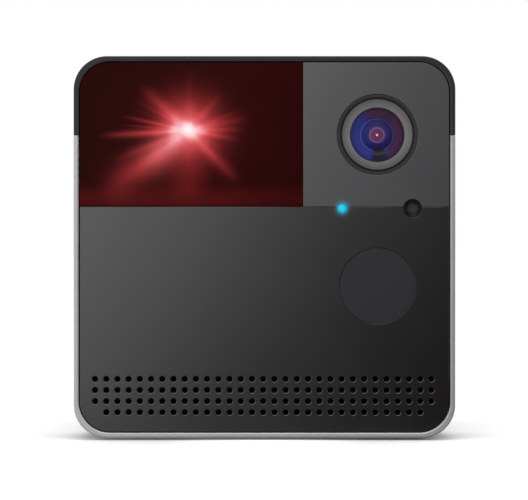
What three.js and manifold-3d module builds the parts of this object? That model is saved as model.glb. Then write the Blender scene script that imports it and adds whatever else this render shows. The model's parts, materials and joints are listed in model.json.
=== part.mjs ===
// A cube-shaped pet camera with a steerable red laser dot behind a dark window.
// Millimetres, +Z up, the lens looks along -Y, and the origin is under the middle of the foot.
import * as THREE from "three";
import { mergeVertices } from "three/addons/utils/BufferGeometryUtils.js";
import Module from "manifold-3d";

const wasm = await Module();
wasm.setup();

// Clearances
const seatGap = 0.05;
const slipFit = 0.15;
const runningGap = 0.12;
const hairSeam = 0.12;
const cutOverrun = 1;

// Body sleeve: a rounded square tube of aluminium
const bodyWidth = 76;
const bodyHeight = 76;
const bodyDepth = 76;
const bodyCorner = 6.3;
const sleeveWall = 1;
const edgeBreak = 0.3;

// Foot and tripod insert
const footProud = 0.5;
const footInset = 10;
const footCorner = 9;
const footHoleGap = 1.5;
const tripodBore = 3.175;
const tripodWall = 1.7;
const tripodFlangeWidth = 2;
const tripodFlangeThickness = 1;
const tripodLength = 8;
const tripodRoof = 1;

// Radio hood: the dark corner piece let into the sleeve's top front edge
const hoodHeight = 15.8;
const hoodDepth = 26;
const hoodLipWall = 0.8;
const hoodLipReach = 1.5;

// Face panels
const panelRecess = 0.1;
const panelThickness = 1.6;
const panelEdgeGap = 0.25;
const upperZoneHeight = 28.75;
const cameraZoneWidth = 29.15;
const cameraOffset = 0.3;

// Speaker grille
const grillePitch = 2.23;
const grilleRowPitch = 2.205;
const grilleRows = 4;
const grilleHole = 0.55;
const grilleSideInset = 3.2;
const grilleShift = 0.25;
const grilleBottomInset = 3.85;
const grilleHoleSides = 6;
const clothMargin = 0.5;
const clothThickness = 0.3;

// Front frame
const frameThickness = 1.8;
const frameSkirtDepth = 5;
const frameSkirtWall = 1.4;
const slotMargin = 0.35;
const micRoom = 8.5;

// Microphone
const micRadius = 2.2;
const micLength = 2.4;
const micSoundHole = 0.7;
const micCollarWall = 1;

// Lens bezel, lens and its holder
const bezelMouth = 5.45;
const bezelConeWidth = 1.55;
const bezelConeDepth = 0.9;
const bezelGrooveWidth = 0.5;
const bezelGrooveDepth = 0.35;
const bezelLand = 0.5;
const bezelLip = 0.5;
const bezelTubeWall = 0.7;
const bezelTubeLength = 4.5;
const lensRimGap = 0.15;
const lensHeadWall = 0.75;
const lensHeadLength = 5;
const lensThreadStep = 0.3;
const lensLength = 11.4;
const lensDomeRise = 0.8;
const lensDomeRecess = 0.3;
const lensCavityRadius = 1.7;
const lensCavityStep = 1.5;
const lensCavityDepth = 3;
const holderTubeWall = 1.3;
const holderWall = 1;
const holderCavityDepth = 3.6;
const holderHeight = 15.2;

// Infrared cut filter shuttle
const filterWindow = 4.2;
const filterBar = 0.8;
const filterThickness = 1;
const filterGap = 0.6;
const filterHeight = 6.4;
const filterTravel = 5;

// Camera board
const boardThickness = 1.2;
const cameraBoardWidth = 22;
const cameraBoardHeight = 20;
const cameraPostRadius = 1.2;
const sensorWidth = 6;
const sensorHeight = 5;
const sensorThickness = 1;

// Night light
const nightDrop = 15.75;
const nightRadius = 7.55;
const nightLedge = 0.7;
const nightCollarWall = 1.6;
const nightCollarDepth = 2.2;
const nightLedRadius = 1.5;
const nightLedLength = 3.2;
const nightLedCircle = 4;
const nightLedCount = 4;

// Status light and light sensor, on the seam under the lens
const indicatorSpacing = 14;
const indicatorDrop = 0.3;
const statusRadius = 1;
const lightSensorRadius = 1.8;
const lightSensorDish = 1.15;
const lightSensorDishDepth = 0.3;
const pipeFlangeWidth = 0.6;
const pipeFlangeThickness = 0.6;
const indicatorGap = 0.2;
const indicatorChip = 1.7;
const indicatorChipThickness = 0.8;
const indicatorBoardWidth = 24;
const indicatorBoardHeight = 6;
const indicatorPostRadius = 1;

// Laser housing
const housingWall = 1.1;
const housingSideGap = 0.6;
const housingDrop = 0.2;
const laserShift = 1.05;
const laserFrontRoom = 6;
const sweepGap = 0.4;

// Gears
const gearModule = 0.4;
const pinionTeeth = 12;
const panGearTeeth = 50;
const tiltGearTeeth = 26;
const panSectorTeeth = 15;
const tiltSectorTeeth = 9;
const toothThinning = 0.05;
const pressureAngle = THREE.MathUtils.degToRad(25);
const addendumShare = 0.9;
const dedendumShare = 1.15;
const flankSteps = 2;

// Pan yoke
const yokeLift = 0.3;
const panGearThickness = 2;
const yokePlateThickness = 1.2;
const yokePlateDepth = 8;
const yokeHubRadius = 4.4;
const pivotRadius = 2.2;
const pivotCapRim = 1.1;
const pivotCapThickness = 0.8;
const pivotPinRadius = 1;
const pivotPinLength = 2.4;
const armGap = 14.8;
const armThickness = 1.4;
const armHeadRadius = 3;
const motorLobeWall = 1.2;

// Laser carriage and laser
const carriageWidth = 6.6;
const carriageHeight = 6.8;
const carriageFront = 5;
const carriageBack = 2.4;
const trunnionRadius = 1.1;
const trunnionShoulder = 2;
const laserRadius = 2.5;
const laserNose = 3.4;
const laserTail = 0.6;
const laserLensRadius = 1.6;
const laserLensDepth = 0.8;
const laserLensRecess = 0.4;
const tiltGearThickness = 1.6;
const tiltGearGap = 0.3;

// Motors
const shaftRadius = 0.6;
const shaftEntry = 2;
const panMotorRadius = 4;
const panMotorHeight = 8.5;
const panMotorEar = 3.5;
const panMotorEarThickness = 0.8;
const panMotorEarHalfWidth = 2.2;
const tiltMotorRadius = 3;
const tiltMotorLength = 8;

// Chassis
const trayThickness = 1.6;
const bulkheadThickness = 2;
const screwPostRadius = 2.6;
const screwPostInset = 7;
const frontPostRadius = 2.2;
const frontPostHeight = 17;
const frontPostInset = 5.3;
const tripodBossWall = 2.6;
const cableNotchWidth = 7;
const cableNotchHeight = 5;

// Screws
const screwRadius = 1.1;
const screwLength = 7;
const screwHeadRadius = 2;
const screwHeadHeight = 1;
const screwGap = 0.1;

// Main board
const standoffLength = 3;
const standoffRadius = 2;
const standoffInset = 4;
const stakeRadius = 0.9;
const stakeProud = 0.6;
const mainBoardLift = 18;
const mainBoardTopInset = 12;
const mainBoardThickness = 1.6;
const processorSide = 19;
const processorHeight = 2.6;
const processorOffset = 9;
const processorTopInset = 7.5;
const radioWidth = 12;
const radioLength = 17;
const radioHeight = 2.2;
const radioSideInset = 8.1;
const radioTopInset = 4.5;
const antennaThickness = 0.3;
const antennaWidth = 17;
const antennaLength = 9;

// Speaker
const speakerSideInset = 9;
const speakerBoxDepth = 17;
const speakerBoxHeight = 17;
const speakerWall = 1.2;
const speakerCorner = 4;
const basketFlange = 1.2;
const basketRim = 2;
const basketDepth = 4;
const basketTaper = 3;
const coneDepth = 2.2;
const coneWall = 0.5;
const magnetRadius = 5.5;
const magnetLength = 4;

// Rear cover
const coverRecess = 0.5;
const coverThickness = 2;
const coverSkirtDepth = 3;
const coverSkirtWall = 1.4;
const screwHeadSink = 0.1;

// Power board, socket and pairing button
const powerBoardLift = 8;
const powerBoardWidth = 40;
const powerBoardLength = 18;
const powerPostRadius = 2;
const powerPostInset = 4;
const socketWidth = 7.8;
const socketHeight = 2.9;
const socketLength = 6;
const socketWall = 0.35;
const socketMouthDepth = 5;
const tongueWidth = 4;
const tongueThickness = 0.6;
const tongueLength = 4;
const plugRecessWidth = 12.4;
const plugRecessHeight = 8;
const plugRecessCorner = 2;
const plugRecessDepth = 1;
const buttonOffset = 13;
const buttonRadius = 3;
const buttonProud = 0.3;
const buttonFlangeWidth = 0.9;
const buttonFlangeThickness = 1;
const buttonStemRadius = 1;
const buttonStemEntry = 0.5;
const buttonTravel = 0.6;
const switchSide = 6;
const switchDepth = 3.2;
const switchStandback = 1.2;

// Facets
const cornerSteps = 6;
const smallCornerSteps = 3;
const tinyCornerSteps = 2;
const fineSides = 28;
const roundSides = 18;
const smallSides = 10;
const tinySides = 8;

// Levels along the depth
const frontY = -bodyDepth / 2;
const rearY = bodyDepth / 2;
const panelFrontY = frontY + panelRecess;
const panelBackY = panelFrontY + panelThickness;
const frameFrontY = panelBackY + seatGap;
const frameBackY = frameFrontY + frameThickness;
const skirtEndY = frameBackY + frameSkirtDepth;
const coverBackY = rearY - coverRecess;
const coverFrontY = coverBackY - coverThickness;
const coverSkirtY = coverFrontY - coverSkirtDepth;

// Insets from the body's outside
const liningInset = sleeveWall + slipFit;
const skirtInset = liningInset + frameSkirtWall + slipFit;
const panelInset = sleeveWall + panelEdgeGap;
const hoodInset = liningInset + hoodLipWall;

// Places on the face, measured from the middle and from the sleeve's underside
const panelHalfWidth = bodyWidth / 2 - panelInset;
const panelTop = bodyHeight - panelInset;
const seamZ = panelTop - upperZoneHeight;
const windowEdgeX = panelHalfWidth - cameraZoneWidth;
const cameraX = panelHalfWidth - cameraZoneWidth / 2 + cameraOffset;
const cameraZ = (panelTop + seamZ) / 2;
const nightZ = seamZ - nightDrop;
const indicatorZ = seamZ - indicatorDrop;
const statusX = cameraX - indicatorSpacing / 2;
const lightSensorX = cameraX + indicatorSpacing / 2;
const hoodBottomZ = bodyHeight - hoodHeight;
const hoodBackY = frontY + hoodDepth;
const trayBottomZ = liningInset;
const trayTopZ = trayBottomZ + trayThickness;

const aluminium = { color: 0xc4c4c6, roughness: 0.38, metalness: 1 };
const hoodPlastic = { color: 0x1e1d22, roughness: 0.45, metalness: 0 };
const facePlastic = { color: 0x18181a, roughness: 0.12, metalness: 0 };
const cameraPlastic = { color: 0x26262a, roughness: 0.14, metalness: 0 };
const redWindow = { color: 0x3a0709, roughness: 0.06, metalness: 0 };
const nightPlastic = { color: 0x222226, roughness: 0.3, metalness: 0 };
const blackPlastic = { color: 0x141416, roughness: 0.55, metalness: 0 };
const darkGlass = { color: 0x1a1c46, roughness: 0.05, metalness: 0 };
const cyanLight = { color: 0x2fd0f2, roughness: 0.3, metalness: 0 };
const clothBlack = { color: 0x0b0b0c, roughness: 0.95, metalness: 0 };
const rubberBlack = { color: 0x1b1b1c, roughness: 0.85, metalness: 0 };
const brass = { color: 0xb08d4a, roughness: 0.35, metalness: 1 };
const steel = { color: 0x8f9194, roughness: 0.35, metalness: 1 };
const boardGreen = { color: 0x1c4a33, roughness: 0.5, metalness: 0 };
const nylonWhite = { color: 0xd9d6cb, roughness: 0.5, metalness: 0 };
const paperCone = { color: 0x2b2a28, roughness: 0.9, metalness: 0 };
const clearEpoxy = { color: 0x9fb0c4, roughness: 0.1, metalness: 0 };

// A closed geometry as a solid that can be cut and joined.
function toSolid(geometry) {
  const bare = geometry.clone();
  bare.deleteAttribute("normal");
  bare.deleteAttribute("uv");
  const merged = mergeVertices(bare);
  const corners = Array.from(merged.index.array);
  const kept = [];
  for (let i = 0; i < corners.length; i += 3) {
    const [a, b, c] = corners.slice(i, i + 3);
    if (a !== b && b !== c && c !== a) kept.push(a, b, c);
  }
  return new wasm.Manifold(
    new wasm.Mesh({
      numProp: 3,
      vertProperties: Float32Array.from(merged.attributes.position.array),
      triVerts: Uint32Array.from(kept),
    }),
  );
}

// A solid as a geometry for a mesh.
function toGeometry(solid) {
  const mesh = solid.getMesh();
  const geometry = new THREE.BufferGeometry();
  geometry.setAttribute("position", new THREE.BufferAttribute(mesh.vertProperties, 3));
  geometry.setIndex(new THREE.BufferAttribute(mesh.triVerts, 1));
  geometry.computeVertexNormals();
  return geometry;
}

const join = (first, ...others) => others.reduce((whole, piece) => whole.add(piece), first);
const cut = (first, ...others) => others.reduce((whole, piece) => whole.subtract(piece), first);
const both = (first, second) => first.intersect(second);

// Adds one named piece to a group.
function addPiece(group, name, solid, finish) {
  const mesh = new THREE.Mesh(toGeometry(solid), new THREE.MeshStandardMaterial(finish));
  mesh.name = name;
  group.add(mesh);
  return mesh;
}

// A group whose origin lies at a place in its parent.
function unitAt(parent, x, y, z) {
  const group = new THREE.Group();
  group.position.set(x, y, z);
  parent.add(group);
  return group;
}

// Points along an arc.
function arcPoints(x, y, radius, from, to, steps) {
  const points = [];
  for (let i = 0; i <= steps; i += 1) {
    const angle = from + ((to - from) * i) / steps;
    points.push(new THREE.Vector2(x + radius * Math.cos(angle), y + radius * Math.sin(angle)));
  }
  return points;
}

// A rectangle between two corners, with round corners.
function roundedOutline(left, bottom, right, top, radius, steps = cornerSteps) {
  const quarter = Math.PI / 2;
  return [
    ...arcPoints(right - radius, bottom + radius, radius, -quarter, 0, steps),
    ...arcPoints(right - radius, top - radius, radius, 0, quarter, steps),
    ...arcPoints(left + radius, top - radius, radius, quarter, 2 * quarter, steps),
    ...arcPoints(left + radius, bottom + radius, radius, 2 * quarter, 3 * quarter, steps),
  ];
}

// The body's cross section, drawn in by an inset.
function bodyOutline(inset) {
  const side = bodyWidth / 2 - inset;
  return roundedOutline(-side, inset, side, bodyHeight - inset, bodyCorner - inset);
}

// An outline in the X and Z directions, carried back along Y from one level to another.
function along(points, fromY, toY, bevel = 0) {
  const geometry = new THREE.ExtrudeGeometry(new THREE.Shape(points), {
    depth: toY - fromY - 2 * bevel,
    bevelEnabled: bevel > 0,
    bevelThickness: bevel,
    bevelSize: bevel,
    bevelOffset: -bevel,
    bevelSegments: 1,
  });
  geometry.rotateX(Math.PI / 2);
  geometry.translate(0, toY - bevel, 0);
  return toSolid(geometry);
}

// An outline in the X and Y directions, carried up from one height to another.
function upwards(points, fromZ, toZ) {
  const geometry = new THREE.ExtrudeGeometry(new THREE.Shape(points), {
    depth: toZ - fromZ,
    bevelEnabled: false,
  });
  geometry.translate(0, 0, fromZ);
  return toSolid(geometry);
}

// An outline in the Y and Z directions, carried to the right from one place to another.
function sideways(points, fromX, toX) {
  const geometry = new THREE.ExtrudeGeometry(new THREE.Shape(points), {
    depth: toX - fromX,
    bevelEnabled: false,
  });
  geometry.rotateX(Math.PI / 2);
  geometry.rotateZ(Math.PI / 2);
  geometry.translate(fromX, 0, 0);
  return toSolid(geometry);
}

function block(left, front, bottom, right, back, top) {
  const geometry = new THREE.BoxGeometry(right - left, back - front, top - bottom);
  geometry.translate((left + right) / 2, (front + back) / 2, (bottom + top) / 2);
  return toSolid(geometry);
}

// A round bar along Y.
function barY(x, z, radius, fromY, toY, sides = roundSides) {
  const geometry = new THREE.CylinderGeometry(radius, radius, toY - fromY, sides);
  geometry.translate(x, (fromY + toY) / 2, z);
  return toSolid(geometry);
}

// A round bar along Z.
function barZ(x, y, radius, fromZ, toZ, sides = roundSides) {
  const geometry = new THREE.CylinderGeometry(radius, radius, toZ - fromZ, sides);
  geometry.rotateX(Math.PI / 2);
  geometry.translate(x, y, (fromZ + toZ) / 2);
  return toSolid(geometry);
}

// A round bar along X.
function barX(y, z, radius, fromX, toX, sides = roundSides) {
  const geometry = new THREE.CylinderGeometry(radius, radius, toX - fromX, sides);
  geometry.rotateZ(Math.PI / 2);
  geometry.translate((fromX + toX) / 2, y, z);
  return toSolid(geometry);
}

// A profile of [radius, y] pairs turned round the Y axis.
function turned(profile, sides = roundSides) {
  const points = profile.map(([radius, y]) => new THREE.Vector2(radius, y));
  const ring = THREE.ShapeUtils.area(points) > 0 ? points : points.slice().reverse();
  if (ring[0].x > 0 || ring[ring.length - 1].x > 0) ring.push(ring[0].clone());
  return toSolid(new THREE.LatheGeometry(ring, sides));
}

const device = new THREE.Group();
device.name = "laser_pet_camera";
const body = unitAt(device, 0, 0, footProud);

// Sleeve, hood and foot

const tripodFlangeRadius = tripodBore + tripodWall + tripodFlangeWidth;
const notchBox = (gap) =>
  block(
    -bodyWidth,
    frontY - cutOverrun,
    hoodBottomZ + gap,
    bodyWidth,
    hoodBackY - gap,
    bodyHeight + cutOverrun,
  );

function makeSleeve() {
  const tube = cut(
    along(bodyOutline(0), frontY, rearY, edgeBreak),
    along(bodyOutline(sleeveWall), frontY - cutOverrun, rearY + cutOverrun),
  );
  const tripodHole = barZ(0, 0, tripodFlangeRadius + slipFit, -cutOverrun, sleeveWall + cutOverrun);
  return cut(tube, notchBox(0), tripodHole);
}

function makeHood() {
  const outside = both(along(bodyOutline(0), frontY, rearY, edgeBreak), notchBox(hairSeam));
  const lip = both(
    along(bodyOutline(liningInset), skirtEndY + slipFit, hoodBackY + hoodLipReach),
    block(
      -bodyWidth,
      frontY,
      hoodBottomZ - hoodLipReach,
      bodyWidth,
      rearY,
      bodyHeight + cutOverrun,
    ),
  );
  const frontRoom = along(bodyOutline(sleeveWall), frontY - cutOverrun, skirtEndY + slipFit);
  const room = along(bodyOutline(hoodInset), frontY, rearY);
  return cut(join(outside, lip), frontRoom, room);
}

function makeFootPad() {
  const side = bodyWidth / 2 - footInset;
  const depthSide = bodyDepth / 2 - footInset;
  return cut(
    upwards(roundedOutline(-side, -depthSide, side, depthSide, footCorner), 0, footProud - seatGap),
    barZ(0, 0, tripodFlangeRadius + footHoleGap, -cutOverrun, footProud + cutOverrun),
  );
}

function makeTripodInsert() {
  const bodyRadius = tripodBore + tripodWall;
  return cut(
    join(
      barZ(0, 0, tripodFlangeRadius, 0, tripodFlangeThickness),
      barZ(0, 0, bodyRadius, 0, tripodLength + tripodRoof),
    ),
    barZ(0, 0, tripodBore, -cutOverrun, tripodLength),
  );
}

addPiece(body, "body_sleeve", makeSleeve(), aluminium);
addPiece(body, "radio_hood", makeHood(), hoodPlastic);
addPiece(device, "foot_pad", makeFootPad(), rubberBlack);
addPiece(body, "tripod_insert", makeTripodInsert(), brass);

// Face panels and grille

const bezelConeRadius = bezelMouth + bezelConeWidth;
const bezelGrooveRadius = bezelConeRadius + bezelGrooveWidth;
const bezelRadius = bezelGrooveRadius + bezelLand;
const bezelTubeRadius = bezelConeRadius;
const grilleWidth = 2 * (panelHalfWidth - grilleSideInset);
const grilleColumns = 1 + Math.floor(grilleWidth / grillePitch);
const grilleLeft = -((grilleColumns - 1) * grillePitch) / 2 - grilleShift;
const grilleRight = grilleLeft + (grilleColumns - 1) * grillePitch;
const grilleBottom = panelInset + grilleBottomInset;
const grilleTop = grilleBottom + (grilleRows - 1) * grilleRowPitch;
const faceReach = [frontY - cutOverrun, frameFrontY + cutOverrun];

const faceSheet = () => along(bodyOutline(panelInset), panelFrontY, panelBackY);
const faceZone = (left, bottom, right, top) =>
  block(left, frontY - cutOverrun, bottom, right, frameFrontY, top);
const indicatorHoles = () =>
  join(
    barY(statusX, indicatorZ, statusRadius + seatGap, ...faceReach, smallSides),
    barY(lightSensorX, indicatorZ, lightSensorRadius + seatGap, ...faceReach, smallSides),
  );

// The bottom row leaves out its first and last hole, next to the body's round corners.
function grillePlaces() {
  const places = [];
  for (let row = 0; row < grilleRows; row += 1) {
    const skip = row === 0 ? 1 : 0;
    for (let column = skip; column < grilleColumns - skip; column += 1)
      places.push([grilleLeft + column * grillePitch, grilleBottom + row * grilleRowPitch]);
  }
  return places;
}

function makeFrontPanel() {
  const lower = faceZone(-bodyWidth, 0, bodyWidth, seamZ - hairSeam / 2);
  const holes = grillePlaces().map(([x, z]) =>
    barY(x, z, grilleHole, ...faceReach, grilleHoleSides),
  );
  return cut(
    both(faceSheet(), lower),
    barY(cameraX, nightZ, nightRadius + seatGap, ...faceReach, fineSides),
    indicatorHoles(),
    join(...holes),
  );
}

function makeCameraPanel() {
  const left = windowEdgeX + hairSeam / 2;
  return cut(
    both(faceSheet(), faceZone(left, seamZ + hairSeam / 2, bodyWidth, bodyHeight)),
    barY(cameraX, cameraZ, bezelRadius + seatGap, ...faceReach, fineSides),
    indicatorHoles(),
  );
}

function makeLaserWindow() {
  const right = windowEdgeX - hairSeam / 2;
  return both(faceSheet(), faceZone(-bodyWidth, seamZ + hairSeam / 2, right, bodyHeight));
}

addPiece(body, "front_panel", makeFrontPanel(), facePlastic);
addPiece(body, "camera_panel", makeCameraPanel(), cameraPlastic);
addPiece(body, "laser_window", makeLaserWindow(), redWindow);

// Laser housing, gears, yoke, carriage and motors

const housingLeft = -(bodyWidth / 2 - skirtInset);
const housingRight = windowEdgeX - housingSideGap;
const housingBottom = seamZ + housingDrop;
const housingTop = bodyHeight - skirtInset;
const housingFrontY = frameBackY + seatGap;
const housingFloorZ = housingBottom + housingWall;
const panCentreDistance = (gearModule * (panGearTeeth + pinionTeeth)) / 2;
const tiltCentreDistance = (gearModule * (tiltGearTeeth + pinionTeeth)) / 2;
const pinionTip = (gearModule * pinionTeeth) / 2 + addendumShare * gearModule;
const laserFront = carriageFront + laserNose;
const laserSweep = Math.hypot(laserFront, laserRadius);
const yokeStack = panGearThickness + yokePlateThickness;
const pivotHeight = yokeLift + yokeStack + runningGap;
const pivotCapTop = pivotHeight + seatGap + pivotCapThickness;
const laserX = (housingLeft + housingRight) / 2 - laserShift;
const laserZ = housingFloorZ + pivotCapTop + sweepGap + laserSweep;
const panY = housingFrontY + laserFrontRoom + laserSweep;
const armOuter = armGap / 2 + armThickness;
const tiltGearInner = armOuter + tiltGearGap;
const tiltGearOuter = tiltGearInner + tiltGearThickness;
const motorLobeRadius = tiltMotorRadius + motorLobeWall;
const swingRadius = Math.hypot(tiltGearOuter, tiltCentreDistance + pinionTip);
const housingRoomBack = Math.max(swingRadius, panCentreDistance + pinionTip) + sweepGap;
const housingInnerBackY = panY + housingRoomBack;
const housingBackY = housingInnerBackY + housingWall;
const panMotorY = panY + panCentreDistance;

const housingOutline = (inset) =>
  roundedOutline(
    housingLeft + inset,
    housingBottom + inset,
    housingRight - inset,
    housingTop - inset,
    bodyCorner - skirtInset - inset,
  );

function makeLaserHousing() {
  const shell = cut(
    along(housingOutline(0), housingFrontY, housingBackY),
    along(housingOutline(housingWall), housingFrontY - cutOverrun, housingInnerBackY),
  );
  const overlap = housingWall / 2;
  const pivot = barZ(
    laserX,
    panY,
    pivotRadius,
    housingFloorZ - overlap,
    housingFloorZ + pivotHeight,
    smallSides,
  );
  const pinHole = barZ(
    laserX,
    panY,
    pivotPinRadius + seatGap,
    housingFloorZ + pivotHeight - pivotPinLength - seatGap,
    housingFloorZ + pivotHeight + cutOverrun,
    smallSides,
  );
  const shaftHole = barZ(
    laserX,
    panMotorY,
    shaftRadius + 2 * runningGap,
    housingBottom - cutOverrun,
    housingFloorZ + cutOverrun,
    smallSides,
  );
  return cut(join(shell, pivot), pinHole, shaftHole);
}

// One involute tooth round an angle, from its right root to its left root.
function toothPoints(teeth, centreAngle) {
  const pitchRadius = (gearModule * teeth) / 2;
  const baseRadius = pitchRadius * Math.cos(pressureAngle);
  const tipRadius = pitchRadius + addendumShare * gearModule;
  const rootRadius = pitchRadius - dedendumShare * gearModule;
  const involute = (angle) => Math.tan(angle) - angle;
  const halfAtPitch = Math.PI / (2 * teeth) - toothThinning / (2 * pitchRadius);
  const startRadius = Math.max(baseRadius, rootRadius);
  const halfAngle = (radius) => {
    const angle = Math.acos(Math.min(baseRadius / radius, 1));
    return halfAtPitch + involute(pressureAngle) - involute(angle);
  };
  const flank = [[rootRadius, halfAngle(startRadius)]];
  for (let i = startRadius > rootRadius ? 0 : 1; i <= flankSteps; i += 1) {
    const radius = startRadius + ((tipRadius - startRadius) * i) / flankSteps;
    flank.push([radius, halfAngle(radius)]);
  }
  const at = ([radius, half], sign) =>
    new THREE.Vector2(
      radius * Math.cos(centreAngle + sign * half),
      radius * Math.sin(centreAngle + sign * half),
    );
  const rising = flank.map((place) => at(place, -1));
  const falling = flank.map((place) => at(place, 1)).reverse();
  return [...rising, ...falling];
}

// A whole gear's outline. A gap between two teeth faces the given angle.
function gearOutline(teeth, gapAngle) {
  const points = [];
  for (let i = 0; i < teeth; i += 1)
    points.push(...toothPoints(teeth, gapAngle + ((i + 0.5) * 2 * Math.PI) / teeth));
  return points;
}

// A toothed sector with a round hub. Its middle tooth faces the given angle.
function sectorOutline(teeth, cutTeeth, middleAngle, hubRadius) {
  const points = [];
  const reach = (cutTeeth - 1) / 2;
  const pitchAngle = (2 * Math.PI) / teeth;
  for (let i = -reach; i <= reach; i += 1)
    points.push(...toothPoints(teeth, middleAngle + i * pitchAngle));
  const edge = (reach + 0.5) * pitchAngle;
  points.push(
    ...arcPoints(
      0,
      0,
      hubRadius,
      middleAngle + edge,
      middleAngle - edge + 2 * Math.PI,
      smallSides,
    ),
  );
  return points;
}

const rearwards = Math.PI / 2;
const laserUnit = unitAt(body, laserX, panY, laserZ);
const panUnit = unitAt(laserUnit, 0, 0, 0);
const tiltUnit = unitAt(panUnit, 0, 0, 0);
const floorBelow = housingFloorZ - laserZ;
const yokeBottom = floorBelow + yokeLift;
const plateBottom = yokeBottom + panGearThickness;
const plateTop = plateBottom + yokePlateThickness;

// One arm of the yoke, seen from the side. The right arm also carries the tilt motor.
function armOutline(withMotorLobe) {
  const halfDepth = yokePlateDepth / 2;
  const head = arcPoints(0, 0, armHeadRadius, rearwards, Math.PI, tinySides / 2);
  const lobe = withMotorLobe
    ? arcPoints(tiltCentreDistance, 0, motorLobeRadius, -rearwards, rearwards, tinySides)
    : arcPoints(0, 0, armHeadRadius, 0, rearwards, tinySides / 2);
  return [
    new THREE.Vector2(-halfDepth, plateBottom),
    new THREE.Vector2(halfDepth, plateBottom),
    ...lobe,
    ...head,
  ];
}

function makePanYoke() {
  const overlap = panGearThickness / 2;
  const sector = upwards(
    sectorOutline(panGearTeeth, panSectorTeeth, rearwards, yokeHubRadius),
    yokeBottom,
    plateBottom,
  );
  const plate = block(
    -armOuter,
    -yokePlateDepth / 2,
    plateBottom - overlap,
    armOuter,
    yokePlateDepth / 2,
    plateTop,
  );
  const hub = barZ(0, 0, yokeHubRadius, yokeBottom, plateTop, smallSides);
  const leftArm = sideways(armOutline(false), -armOuter, -armGap / 2);
  const rightArm = sideways(armOutline(true), armGap / 2, armOuter);
  const bore = barZ(0, 0, pivotRadius + runningGap, floorBelow, plateTop + cutOverrun, smallSides);
  const trunnionHoles = barX(0, 0, trunnionRadius + runningGap, -bodyWidth, bodyWidth, smallSides);
  const shaftHole = barX(
    tiltCentreDistance,
    0,
    shaftRadius + 2 * runningGap,
    0,
    bodyWidth,
    smallSides,
  );
  return cut(join(plate, sector, hub, leftArm, rightArm), bore, trunnionHoles, shaftHole);
}

function makePivotCap() {
  const bottom = floorBelow + pivotHeight + seatGap;
  return join(
    barZ(0, 0, pivotRadius + pivotCapRim, bottom, bottom + pivotCapThickness, smallSides),
    barZ(0, 0, pivotPinRadius, bottom - pivotPinLength, bottom + pivotCapThickness, smallSides),
  );
}

function makePanMotor() {
  const top = housingBottom - laserZ - seatGap;
  const y = panCentreDistance;
  const earReach = panMotorRadius + panMotorEar;
  const ears = upwards(
    roundedOutline(
      -earReach,
      y - panMotorEarHalfWidth,
      earReach,
      y + panMotorEarHalfWidth,
      panMotorEarHalfWidth,
      smallCornerSteps,
    ),
    top - panMotorEarThickness,
    top,
  );
  const can = barZ(0, y, panMotorRadius, top - panMotorHeight, top);
  const bore = barZ(0, y, shaftRadius + seatGap, top - shaftEntry, top + cutOverrun, tinySides);
  return cut(join(can, ears), bore);
}

function makePanPinion() {
  const y = panCentreDistance;
  const motorTop = housingBottom - laserZ - seatGap;
  const outline = gearOutline(pinionTeeth, -rearwards);
  const shifted = outline.map((p) => new THREE.Vector2(p.x, p.y + y));
  return join(
    upwards(shifted, yokeBottom, plateBottom),
    barZ(0, y, shaftRadius, motorTop - shaftEntry + seatGap, plateBottom, tinySides),
  );
}

function makeTiltMotor() {
  const face = armGap / 2 - seatGap;
  return cut(
    barX(tiltCentreDistance, 0, tiltMotorRadius, face - tiltMotorLength, face),
    barX(
      tiltCentreDistance,
      0,
      shaftRadius + seatGap,
      face - shaftEntry,
      face + cutOverrun,
      tinySides,
    ),
  );
}

function makeTiltPinion() {
  const face = armGap / 2 - seatGap;
  const outline = gearOutline(pinionTeeth, Math.PI);
  const shifted = outline.map((p) => new THREE.Vector2(p.x + tiltCentreDistance, p.y));
  return join(
    sideways(shifted, tiltGearInner, tiltGearOuter),
    barX(
      tiltCentreDistance,
      0,
      shaftRadius,
      face - shaftEntry + seatGap,
      tiltGearOuter,
      tinySides,
    ),
  );
}

function makeTiltGear() {
  const sector = sideways(
    sectorOutline(tiltGearTeeth, tiltSectorTeeth, 0, trunnionShoulder + armThickness),
    tiltGearInner,
    tiltGearOuter,
  );
  return cut(
    sector,
    barX(0, 0, trunnionRadius + seatGap, 0, tiltGearOuter + cutOverrun, smallSides),
  );
}

function makeLaserCarriage() {
  const half = carriageWidth / 2;
  const shoulder = armGap / 2 - slipFit;
  const blockBody = along(
    roundedOutline(
      -half,
      -carriageHeight / 2,
      half,
      carriageHeight / 2,
      runningGap + slipFit,
      tinyCornerSteps,
    ),
    -carriageFront,
    carriageBack,
  );
  return cut(
    join(
      blockBody,
      barX(0, 0, trunnionShoulder, -shoulder, shoulder, smallSides),
      barX(0, 0, trunnionRadius, -armOuter, tiltGearOuter, smallSides),
    ),
    barY(0, 0, laserRadius + seatGap, -laserFront, carriageBack + cutOverrun, smallSides),
  );
}

function makeLaserBarrel() {
  const mouth = laserLensRadius + seatGap;
  const back = carriageBack + laserTail;
  const lensSeat = -laserFront + laserLensRecess + laserLensDepth + seatGap;
  return turned(
    [
      [0, lensSeat],
      [mouth, lensSeat],
      [mouth, -laserFront],
      [laserRadius, -laserFront],
      [laserRadius, back],
      [0, back],
    ],
    smallSides,
  );
}

function makeLaserLens() {
  const front = -laserFront + laserLensRecess;
  return barY(0, 0, laserLensRadius, front, front + laserLensDepth, smallSides);
}

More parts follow.
